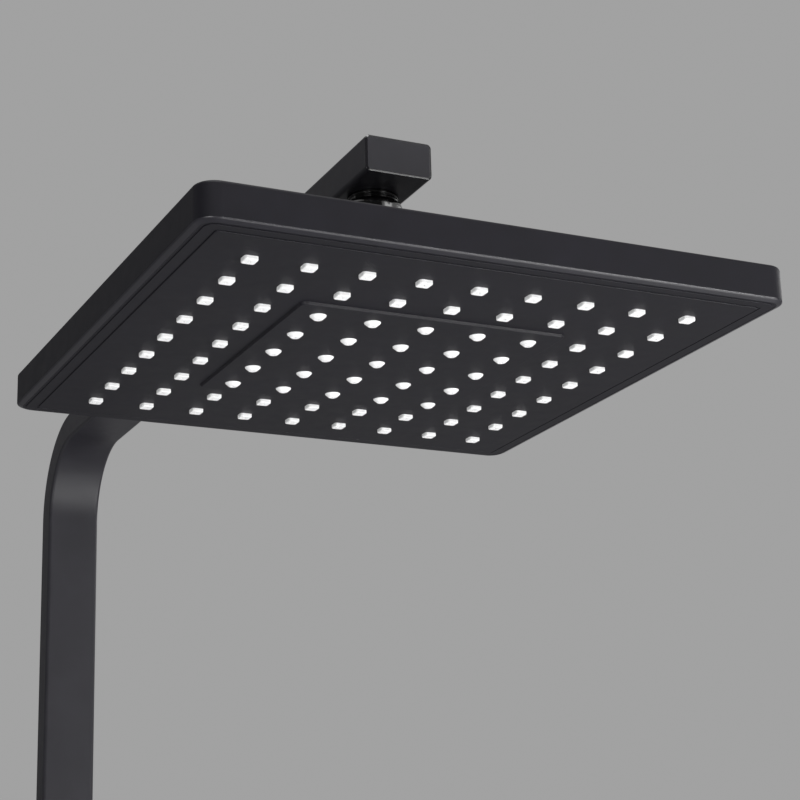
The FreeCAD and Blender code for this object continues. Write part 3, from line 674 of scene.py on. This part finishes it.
# %% Ball stem
stem_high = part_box("ball_stem")[1]
ball_radius = 10.0 * mm
neck_radius = 6.5 * mm
bore_radius = 4.2 * mm
nut_radius = 12.6 * mm
nut_top = stem_high.z - joint_axis.z
nut_height = 16.0 * mm
nut_low = nut_top - nut_height
flat_height = 7.0 * mm
flat_top = nut_low + flat_height
flat_half = 11.0 * mm
ball_low = -math.acos(bore_radius / ball_radius)
ball_high = math.acos(neck_radius / ball_radius)
arc = [ball_low + (ball_high - ball_low) * step / 24 for step in range(25)]
ball = [(ball_radius * math.cos(angle), ball_radius * math.sin(angle)) for angle in arc]
shoulder_width = 1.8 * mm
shoulder_drop = 3.0 * mm
quarter = [math.radians(90) * step / 8 for step in range(9)]
shoulder = [
    (nut_radius - shoulder_width * (1 - math.cos(turn)), nut_top - shoulder_drop * (1 - math.sin(turn)))
    for turn in quarter]
inlet_radius = 10.6 * mm
inlet_end = nut_top - 10.0 * mm
hair = 0.01 * mm
stem_section = ball + [
    (neck_radius, nut_low, 1.2 * mm), (nut_radius, nut_low, 1.6 * mm), (nut_radius, flat_top - 2 * hair),
    (nut_radius, flat_top), *shoulder, (inlet_radius, nut_top - 10 * hair), (inlet_radius, inlet_end),
    (bore_radius, inlet_end)]
stem_rings = [round_ring(point.x, point.y, 96) for point in eased(stem_section)]
for ring in stem_rings:
    if nut_low - hair < ring[0].z < flat_top - hair:
        for point in ring:
            point.x = max(-flat_half, min(flat_half, point.x))
stem = skin("ball_stem_turned", stem_rings)
settle(stem, Matrix.Translation(joint_axis), joint_plating, "column", "black_plated_brass", "ball_stem")

# %% [markdown]
# ## Finger grips
# Both plastic nuts have a ring of flutes for the fingers. The tree takes a turned blank and presses its outer
# wall in, by a depth that falls off on both sides of each flute and ends below the top edge. Cutting twenty
# round grooves by boolean would give the same form with a far less even mesh.

# %% Fluted nut
fluted_nut, given, wanted = new_group("fluted_nut", "GeometryNodeTree", [
    ("Blank", "Object"), ("Count", "Int"), ("Depth", "Float"), ("Outer radius", "Float"), ("Top", "Float"),
    ("Finish", "Material")], [("Mesh", "Geometry")])
put, calc = tools(fluted_nut)
blank = shape_of(fluted_nut, given["Blank"])
parts = add(fluted_nut, "ShaderNodeSeparateXYZ", {0: put("InputPosition")}).outputs
bearing = calc("ARCTAN2", parts[1], parts[0])
turns = calc("DIVIDE", calc("MULTIPLY", bearing, given["Count"]), math.tau)
# Whole turns are added so that the count of flutes never falls below zero
whole_turns = 200.0
flute_half = 0.2
flute_fade = 0.8 * mm
wall_depth = 1.2 * mm
off_centre = calc("PINGPONG", calc("ADD", turns, whole_turns), 0.5)
fall = calc("SUBTRACT", 1.0, calc("POWER", calc("DIVIDE", off_centre, flute_half), 2.0))
fade = calc("DIVIDE", calc("SUBTRACT", given["Top"], parts[2]), flute_fade)
fade = calc("MINIMUM", calc("MAXIMUM", fade, 0.0), 1.0)
press = calc("MULTIPLY", calc("MAXIMUM", fall, 0.0), given["Depth"])
press = calc("MULTIPLY", press, fade)
level_spot = put("ShaderNodeCombineXYZ", {0: parts[0], 1: parts[1]})
reach = add(fluted_nut, "ShaderNodeVectorMath", {0: level_spot}, operation="LENGTH").outputs["Value"]
wall = calc("GREATER_THAN", reach, calc("SUBTRACT", given["Outer radius"], wall_depth))
press = calc("MULTIPLY", calc("MULTIPLY", press, wall), -1.0)
away = put("ShaderNodeVectorMath", {0: level_spot}, operation="NORMALIZE")
offset = put("ShaderNodeVectorMath", {0: away, "Scale": press}, operation="SCALE")
pressed = put("SetPosition", {"Geometry": blank, "Offset": offset})
ending(fluted_nut, pressed, given["Finish"], wanted)
print("tree:", fluted_nut.name)

# %% Ball nut and lock nut
grip_count = 20
grip_depth = 0.6 * mm


def gripped(name, section, outer_radius, top, shift, node):
    """Fluted nut from its section, set on the rain head."""
    nut = grow(name, fluted_nut, {
        "Blank": turned(name + "_blank", section, 360), "Count": grip_count, "Depth": grip_depth,
        "Outer radius": outer_radius, "Top": top, "Finish": black_plastic})
    settle(outward(nut), shift, None, "rain_head", "black_plastic", node)


nut_low_corner, nut_high_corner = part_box("ball_nut")
ball_nut_radius = (nut_high_corner.x - nut_low_corner.x) / 2
skirt = nut_low_corner.z - joint_axis.z
crown = nut_high_corner.z - joint_axis.z
hub_bore = 15.1 * mm
throat = 10.5 * mm
throat_low = 6.1 * mm
throat_high = 7.05 * mm
mouth = 11.0 * mm
grip_top = crown - 3.2 * mm
gripped("ball_nut_fluted", [
    (hub_bore, skirt, 0.3 * mm), (ball_nut_radius, skirt, 0.5 * mm),
    (ball_nut_radius, grip_top - flute_fade), (ball_nut_radius, grip_top),
    (ball_nut_radius, crown, 2.0 * mm), (mouth, crown, 0.5 * mm), (throat, throat_high),
    (throat, throat_low), (hub_bore, 0.1 * mm)],
    ball_nut_radius, grip_top, Matrix.Translation(joint_axis), "ball_nut")

lock_low, lock_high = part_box("hub_lock_nut")
lock_radius = (lock_high.x - lock_low.x) / 2
lock_height = lock_high.z - lock_low.z
lock_grip = lock_height - 1.2 * mm
lock_fade = 0.6 * mm
lock_place = Matrix.Translation((joint_axis.x, joint_axis.y, lock_low.z))
gripped("lock_nut_fluted", [
    (hub_bore, 0), (lock_radius, 0, 0.4 * mm), (lock_radius, lock_grip - lock_fade),
    (lock_radius, lock_grip), (lock_radius, lock_height, 0.9 * mm), (hub_bore, lock_height, 0.2 * mm)],
    lock_radius, lock_grip, lock_place, "hub_lock_nut")

# %% [markdown]
# ## The rain head's cover and trim
# The cover is a shallow box with a bevelled rim. One section runs from inside the wall, round the rim, up the
# side and over the top to the hub, where the square rings lead into round ones. The trim is a flat band with a
# shallow groove on each side. Its section runs round the same square and has the floors of both grooves, so
# that they read as soft lines and not as open slots.

# %% Cover
cover_low, cover_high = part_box("head_cover")
face_low, face_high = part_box("face_plate")
head_width = cover_high.x - cover_low.x
head_corner = 8.0 * mm
at_face = Matrix.Translation((joint_axis.x, joint_axis.y, face_low.z))
hub_top = cover_high.z - face_low.z
hub_rise = 1.2 * mm
cover_top = hub_top - hub_rise
rim = cover_low.z - face_low.z
roof_thickness = 2.6 * mm
cover_roof = cover_top - roof_thickness
cover_wall = 3.0 * mm
ledge = 9.0 * mm
ledge_under = 7.2 * mm
rim_bevel = 2.4 * mm
rim_bevel_drop = 0.9 * mm
hub_foot = 34.0 * mm
hub_radius = 30.0 * mm


def head_rings(section):
    """Rings of a section that is carried round the head."""
    return inset_rings(section, head_width, head_width, head_corner, least=1.5 * mm)


cover_section = eased([
    (ledge, cover_roof), (ledge, ledge_under), (cover_wall, ledge_under), (cover_wall, rim, 0.15 * mm),
    (rim_bevel, rim, 0.25 * mm), (0, rim + rim_bevel_drop, 1.1 * mm), (0, cover_top, 1.2 * mm),
    (6 * mm, cover_top)])
hub_section = eased([
    (hub_foot, cover_top), (hub_radius, cover_top, 0.6 * mm), (hub_radius, hub_top, 0.5 * mm),
    (hub_bore, hub_top, 0.2 * mm), (hub_bore, cover_roof)])
cover_rings = head_rings(cover_section) + [round_ring(point.x, point.y) for point in hub_section]
cover = skin("head_cover_shell", cover_rings)
settle(cover, at_face, head_coat, "rain_head", "black_plastic", "head_cover")
rim_reach = cover_low.z + 2 * rim_bevel_drop
rub(cover, rim_coat, lambda face: face.center.z < rim_reach and -0.98 < face.normal.z < -0.2)

# %% Trim
trim_low, trim_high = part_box("trim_frame")
trim_inset = (head_width - trim_high.x + trim_low.x) / 2
trim_band = 4.2 * mm
trim_under = trim_low.z - face_low.z
trim_top = trim_high.z - face_low.z
trim_inner = trim_inset + trim_band
trim_lip = 2.5 * mm
lip_under = 2.0 * mm
gap_floor = 0.75 * mm
outer_floor = 0.6 * mm
inner_floor = 0.45 * mm
trim_section = eased([
    (trim_inset, trim_under, 0.3 * mm), (trim_inner, trim_under, 0.35 * mm), (trim_inner, inner_floor),
    (trim_inner + gap_floor, inner_floor), (trim_inner + gap_floor, lip_under),
    (trim_inner + trim_lip, lip_under), (trim_inner + trim_lip, trim_top), (trim_inset, trim_top),
    (trim_inset, lip_under), (trim_inset - gap_floor, lip_under),
    (trim_inset - gap_floor, outer_floor), (trim_inset, outer_floor)])
trim = skin("head_trim", head_rings(trim_section))
settle(trim, at_face, head_coat, "rain_head", "black_plastic", "trim_frame")

# %% [markdown]
# ## The grid of nozzles
# The nozzles stand on a grid of nine by nine. The outer two rings are small square pads in the face, and the
# middle five rows are larger round nozzles in a panel that stands a little proud. One tree makes the grid and
# leaves out the middle rows where asked. Two trees build on it: a perforated plate, and a field of nozzles.

# %% Grid points
nozzle_grid, given, wanted = new_group("nozzle_grid", "GeometryNodeTree", [
    ("Rows", "Int"), ("Rows left out", "Int"), ("Pitch", "Float")], [("Points", "Geometry")])
put, calc = tools(nozzle_grid)
span = calc("MULTIPLY", calc("SUBTRACT", given["Rows"], 1), given["Pitch"])
points = put("MeshGrid", {
    "Size X": span, "Size Y": span, "Vertices X": given["Rows"], "Vertices Y": given["Rows"]})
parts = add(nozzle_grid, "ShaderNodeSeparateXYZ", {0: put("InputPosition")}).outputs
reach = calc("MAXIMUM", calc("ABSOLUTE", parts[0]), calc("ABSOLUTE", parts[1]))
middle = calc("MULTIPLY", calc("MULTIPLY", given["Rows left out"], 0.5), given["Pitch"])
inside = calc("LESS_THAN", reach, middle)
kept = put("DeleteGeometry", {"Geometry": points, "Selection": inside})
nozzle_grid.links.new(kept, wanted["Points"])
nozzle_pitch = 22.8 * mm
face_rows = 9
panel_rows = 5


def on_grid(tree, given):
    """Places the grid of nozzles in another tree."""
    values = {label: given[label] for label in ("Rows", "Rows left out", "Pitch")}
    return add(tree, "Group", values, node_tree=nozzle_grid).outputs["Points"]


def grid_values(rows, left_out):
    """Inputs of a tree that uses the grid."""
    return {"Rows": rows, "Rows left out": left_out, "Pitch": nozzle_pitch}


grid_inputs = [("Rows", "Int"), ("Rows left out", "Int"), ("Pitch", "Float"), ("Finish", "Material")]
print("grid:", nozzle_grid.name)

# %% [markdown]
# ## Perforated face and panel
# A moulded plate with dozens of holes is a flat outline with the hole outlines taken out, and a lining in
# each hole that joins the two sides. The tree fills the outlines once, uses the sheet for both sides, and
# welds the linings and the rim to it. Eighty booleans would be slower and leave ragged edges.

# %% Perforated plate
perforated, given, wanted = new_group("perforated_plate", "GeometryNodeTree", grid_inputs + [
    ("Outline", "Object"), ("Hole", "Object"), ("Lining", "Object"), ("Rim", "Object"), ("Under", "Float"),
    ("Thickness", "Float")], [("Mesh", "Geometry")])
put, calc = tools(perforated)
points = on_grid(perforated, given)
hole = shape_of(perforated, given["Hole"])
holes = put("RealizeInstances", {"Geometry": put("InstanceOnPoints", {"Points": points, "Instance": hole})})
outlines = joined(perforated, holes, shape_of(perforated, given["Outline"]))
filled = put("FillCurve", {"Curve": put("MeshToCurve", {"Mesh": outlines})})
sides = []
for height in (given["Under"], calc("ADD", given["Under"], given["Thickness"])):
    shift = put("ShaderNodeCombineXYZ", {2: height})
    sides.append(put("Transform", {"Geometry": filled, "Translation": shift}))
lining = shape_of(perforated, given["Lining"])
linings = put("RealizeInstances", {"Geometry": put("InstanceOnPoints", {"Points": points, "Instance": lining})})
whole = joined(perforated, *sides, linings, shape_of(perforated, given["Rim"]))
welded = put("MergeByDistance", {"Geometry": whole, "Distance": weld_gap})
ending(perforated, welded, given["Finish"], wanted)
print("tree:", perforated.name)


# %% Outlines and linings of a plate
def outline(name, *rings):
    """Closed lines through rings of points."""
    bm = bmesh.new()
    for ring in rings:
        row = [bm.verts.new((point.x, point.y, 0)) for point in ring]
        for i in range(len(row)):
            bm.edges.new((row[i - 1], row[i]))
    return new_piece(name, bm)


def perforate(name, rows, left_out, under, thickness, edge_rings, hole_rings, material, node):
    """Perforated plate from the rings of its edges and of one hole."""
    plate = grow(name, perforated, {
        **grid_values(rows, left_out), "Under": under, "Thickness": thickness, "Finish": material,
        "Outline": outline("plate_outline", *[rings[0] for rings in edge_rings]),
        "Hole": outline("plate_hole", hole_rings[0]),
        "Lining": skin("plate_lining", hole_rings, ends="open"),
        "Rim": skin("plate_rim", *edge_rings, ends="open")})
    settle(outward(plate), at_face, None, "rain_head", "black_plastic", node)


# %% Face plate
face_width = face_high.x - face_low.x
face_edge = 0.3 * mm
face_thickness = 2.0 * mm
opening = 100.0 * mm
pad_hole = 5.5 * mm
pad_hole_corner = 1.1 * mm
hole_edge = 0.15 * mm
face_rim = eased([
    (face_edge * 2, 0), (0, 0, face_edge), (0, face_thickness, face_edge),
    (face_edge * 2, face_thickness)])
face_corner = 1.5 * mm
panel_corner = 3.0 * mm
face_rings = inset_rings(face_rim, face_width, face_width, face_corner, least=face_corner)
opening_rings = [square_ring(opening, opening, panel_corner, z) for z in (0, face_thickness)]
pad_hole_rings = [
    square_ring(pad_hole + 2 * spread, pad_hole + 2 * spread, pad_hole_corner + spread, z, steps=3)
    for spread, z in (
        (hole_edge, 0), (0, hole_edge), (0, face_thickness - hole_edge), (hole_edge, face_thickness))]
perforate("head_face", face_rows, panel_rows, 0.0, face_thickness, [face_rings, opening_rings], pad_hole_rings,
          head_coat, "face_plate")

# %% Centre panel
panel_low, panel_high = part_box("centre_panel")
panel_width = panel_high.x - panel_low.x
panel_under = panel_low.z - face_low.z
panel_draft = 0.6 * mm
panel_edge = 0.4 * mm
nozzle_hole = 3.35 * mm
panel_rim = eased([
    (panel_draft + 2 * panel_edge, panel_under), (panel_draft, panel_under, panel_edge), (0, 0),
    (2 * panel_edge, 0)], steps=6)
panel_rings = inset_rings(panel_rim, panel_width, panel_width, panel_corner, least=1.0 * mm)
panel_rings[-1] = [Vector((point.x, point.y, 0)) for point in panel_rings[0]]
nozzle_hole_rings = [
    round_ring(nozzle_hole + spread, z, 24)
    for spread, z in ((hole_edge, panel_under), (0, panel_under + hole_edge), (0, -hole_edge), (hole_edge, 0))]
perforate("head_panel", panel_rows, 0, panel_under, -panel_under, [panel_rings], nozzle_hole_rings, head_coat,
          "centre_panel")

# %% [markdown]
# ## Silicone nozzles
# Each mat is one silicone moulding: a sheet behind the plate and a nozzle through every hole, soft enough to
# rub clean. One nozzle is modelled with its jet hole and copied over the grid, then the sheet is joined to it.
# An array modifier can't leave out the middle rows, and the tree can.

# %% Nozzle field
nozzle_field, given, wanted = new_group("nozzle_field", "GeometryNodeTree", grid_inputs + [
    ("Nozzle", "Object"), ("Sheet", "Object")], [("Mesh", "Geometry")])
put = tools(nozzle_field)[0]
copies = put("InstanceOnPoints", {
    "Points": on_grid(nozzle_field, given), "Instance": shape_of(nozzle_field, given["Nozzle"])})
both = joined(nozzle_field, copies, shape_of(nozzle_field, given["Sheet"]))
ending(nozzle_field, both, given["Finish"], wanted)


def nozzle_mat(name, rows, left_out, nozzle, sheet, node):
    """Mat of nozzles, set in the rain head."""
    mat = grow(name, nozzle_field, {
        **grid_values(rows, left_out), "Nozzle": nozzle, "Sheet": sheet, "Finish": silicone})
    settle(mat, at_face, None, "rain_head", "white_silicone", node)


# %% Square pads
outer_low, outer_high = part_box("nozzle_mat_outer")
pad_width = 5.3 * mm
pad_tip = outer_low.z - face_low.z
sheet_low = face_thickness
sheet_high = outer_high.z - face_low.z
jet_radius = 0.6 * mm
pad_jet = 1.5 * mm
pad_corner = 1.0 * mm
pad_land = 1.4 * mm
pad_section = eased([(0, sheet_low), (0, pad_tip, 0.4 * mm), (pad_land, pad_tip)])
pad_rings = inset_rings(pad_section, pad_width, pad_width, pad_corner, least=0.7 * mm, steps=3)
pad_rings += [round_ring(jet_radius, z, 16) for z in (pad_tip, pad_tip + pad_jet)]
pad = skin("square_pad", pad_rings, ends="capped")
outer_width = outer_high.x - outer_low.x
sheet_opening = 117.0 * mm
sheet_rings = [square_ring(width, width, panel_corner, z) for width, z in (
    (outer_width, sheet_low), (outer_width, sheet_high), (sheet_opening, sheet_high),
    (sheet_opening, sheet_low))]
nozzle_mat("square_nozzles", face_rows, panel_rows, pad, skin("outer_sheet", sheet_rings), "nozzle_mat_outer")

# %% Round nozzles
inner_low, inner_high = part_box("nozzle_mat_inner")
nozzle_tip = inner_low.z - face_low.z
nozzle_radius = 3.25 * mm
tip_radius = 1.7 * mm
nozzle_jet = 1.8 * mm
nozzle_section = eased([
    (nozzle_radius, sheet_low), (nozzle_radius, panel_under - 0.1 * mm, 0.3 * mm),
    (tip_radius, nozzle_tip, 0.6 * mm), (jet_radius, nozzle_tip)])
nozzle_rings = [round_ring(point.x, point.y, 28) for point in nozzle_section]
nozzle_rings.append(round_ring(jet_radius, nozzle_tip + nozzle_jet, 28))
bowl = skin("round_nozzle", nozzle_rings, ends="capped")
inner_width = inner_high.x - inner_low.x
inner_rings = [square_ring(inner_width, inner_width, panel_corner, z) for z in (sheet_low, sheet_high)]
inner_sheet = skin("inner_sheet", inner_rings, ends="capped")
nozzle_mat("round_nozzles", panel_rows, 0, bowl, inner_sheet, "nozzle_mat_inner")

# %% [markdown]
# ## The wall bracket
# A cover hides the plate that is screwed to the wall. A round post carries a sleeve that the column slides
# through, and two grub screws lock it. All of these are sections carried round an outline, as the head is.

# %% Bracket cover
bracket_low, bracket_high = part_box("bracket_cover")
bracket_width = bracket_high.x - bracket_low.x
bracket_height = bracket_high.z - bracket_low.z
bracket_depth = bracket_high.y - bracket_low.y
bracket_wall = 1.6 * mm
bracket_corner = 5.6 * mm
post_radius = 9.0 * mm
bracket_section = eased([
    (bracket_wall, bracket_depth - bracket_wall), (bracket_wall, 0, 0.2 * mm), (0, 0, 0.3 * mm),
    (0, bracket_depth, 1.0 * mm), (4 * mm, bracket_depth)])
# The section's last point only gives the edge before it a direction
bracket_rings = inset_rings(bracket_section[:-1], bracket_width, bracket_height, bracket_corner)
post_gap = 0.1 * mm
bracket_rings += [round_ring(post_radius + spread, z) for spread, z in (
    (0.5 * mm, bracket_depth), (post_gap, bracket_depth - 0.4 * mm), (post_gap, bracket_depth - bracket_wall))]
bracket = skin("bracket_cap", bracket_rings)
settle(bracket, to_room, powder_coat, "column", "black_painted_metal", "bracket_cover")

# %% Bracket post
post_low, post_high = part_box("bracket_post")
screw_bore = 2.6 * mm
post = turned("bracket_bar", [
    (screw_bore, -post_high.y), (post_radius, -post_high.y, 0.4 * mm), (post_radius, -post_low.y, 0.2 * mm),
    (screw_bore, -post_low.y)])
settle(post, to_room, powder_coat, "column", "black_painted_metal", "bracket_post")

# %% Bracket sleeve
sleeve_low, sleeve_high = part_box("bracket_sleeve")
sleeve_width = sleeve_high.x - sleeve_low.x
sleeve_depth = sleeve_high.y - sleeve_low.y
sleeve_play = 0.1 * mm
sleeve_wall = (sleeve_width - tube_width) / 2 - sleeve_play
sleeve_section = eased([
    (0, sleeve_low.z, 0.8 * mm), (0, sleeve_high.z, 0.8 * mm), (sleeve_wall, sleeve_high.z, 0.3 * mm),
    (sleeve_wall, sleeve_low.z, 0.3 * mm)])
sleeve_rings = inset_rings(sleeve_section, sleeve_width, sleeve_depth, tube_corner + sleeve_wall)
sleeve = skin("bracket_clasp", sleeve_rings)
at_riser = Matrix.Translation((0, riser_y, 0))
settle(sleeve, at_riser, powder_coat, "column", "black_painted_metal", "bracket_sleeve")

# %% [markdown]
# ## The union nut
# The riser ends in a hexagon nut with an inside thread that takes the supply. A hexagon that is chamfered by a
# cone has curved corners, so each ring takes the smaller of the hexagon's radius and the cone's. The thread is
# a thin six-sided bar that is swept along a helix and half sunk in the bore's wall.

# %% Hexagon nut
union_low, union_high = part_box("union_nut")
union_flats = union_high.y - union_low.y
union_height = union_high.z - union_low.z
union_corner = union_flats / math.sqrt(3)
union_bore = 13.2 * mm
lip_bore = 9.3 * mm
lip_height = 3.0 * mm
relief_bore = union_bore + 0.6 * mm
thread_length = 11.0 * mm
cone = union_corner - union_flats / 2
union_steps = 120


def hexagon_ring(cone_radius, z):
    """Ring of a hexagon with its corners taken back to a cone."""
    points = []
    for step in range(union_steps):
        angle = math.tau * (step + 0.5) / union_steps
        wedge = (angle % (math.pi / 3)) - math.pi / 6
        reach = min(union_flats / 2 / math.cos(wedge), cone_radius)
        points.append(Vector((reach * math.cos(angle), reach * math.sin(angle), z)))
    return points


chamfer = [(cone * share, union_corner - cone * (1 - share)) for share in (0, 0.25, 0.5, 0.75, 1)]
entry_bore = union_bore + 0.8 * mm
union_rings = [round_ring(entry_bore, 0, union_steps)]
union_rings += [hexagon_ring(reach, depth) for depth, reach in chamfer]
union_rings += [hexagon_ring(reach, union_height - depth) for depth, reach in reversed(chamfer)]
thread_root = union_bore + 0.4 * mm
lip_edge = 0.4 * mm
lip_low = union_height - lip_height
union_rings += [round_ring(radius, z, union_steps) for radius, z in (
    (lip_bore + lip_edge, union_height), (lip_bore, union_height - lip_edge), (lip_bore, lip_low),
    (relief_bore, lip_low), (relief_bore, thread_length), (thread_root, thread_length),
    (thread_root, 0.6 * mm))]
union = skin("union_hexagon", union_rings)
union_place = Matrix.Translation((0, riser_y, union_low.z))
settle(union, union_place, nut_plating, "union_nut", "black_plated_brass", "union_nut")

# %% Thread
inside_thread, given, wanted = new_group("inside_thread", "GeometryNodeTree", [
    ("Radius", "Float"), ("Length", "Float"), ("Pitch", "Float"), ("Finish", "Material")],
    [("Mesh", "Geometry")])
put, calc = tools(inside_thread)
ridge_share = 0.34
helix = put("CurveSpiral", {
    "Resolution": 64, "Rotations": calc("DIVIDE", given["Length"], given["Pitch"]), "Height": given["Length"],
    "Start Radius": given["Radius"], "End Radius": given["Radius"]})
steady = put("SetCurveNormal", {"Curve": helix}, mode="Z_UP")
ridge_radius = calc("MULTIPLY", given["Pitch"], ridge_share)
ridge = put("CurvePrimitiveCircle", {"Resolution": 6, "Radius": ridge_radius})
thread = put("CurveToMesh", {"Curve": steady, "Profile Curve": ridge, "Fill Caps": True})
ending(inside_thread, thread, given["Finish"], wanted)
thread_pitch = 1.814 * mm
thread_start = 1.2 * mm
ridges = grow("union_thread", inside_thread, {
    "Radius": thread_root, "Length": thread_length - 2 * thread_start, "Pitch": thread_pitch,
    "Finish": nut_plating})
outward(ridges).data.transform(Matrix.Translation((0, riser_y, union_low.z + thread_start)))
soften(ridges)
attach(ridges, "union_nut")
print("thread of", len(ridges.data.polygons), "faces")

# %% [markdown]
# ## Solids that stay as they are
# The seals, screws, rings and plates inside need no softer edges than their solids have. They only get the
# finish of what they are made of.

# %% Finishes for the other solids
solid_finishes = {
    steel: ("chamber_screws", "face_screws", "post_screw", "sleeve_screw", "grub_screws", "wall_plate"),
    rubber: ("filter_washer", "hub_seal", "cover_seal", "union_washer"),
    grey_plastic: ("flow_regulator", "ball_seat", "slip_ring", "distribution_plate"),
    black_plastic: ("hub_socket",), powder_coat: ("column_foot",)}
for material, nodes in solid_finishes.items():
    for node in nodes:
        slots = frame["nodes"][node].data.materials
        slots.clear()
        slots.append(material)
    print(material.name, "on", ", ".join(nodes))

# %% [markdown]
# ## Size
# The dressed part should keep the size of the solids, so both boxes are measured and compared.

# %% Boxes
new_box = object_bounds()
boxes = {"cad": [list(corner) for corner in cad_box], "visual": [list(corner) for corner in new_box]}
shifts = [abs(a - b) for low, high in zip(*boxes.values()) for a, b in zip(low, high)]
print("largest change of a side:", round(max(shifts), 6))
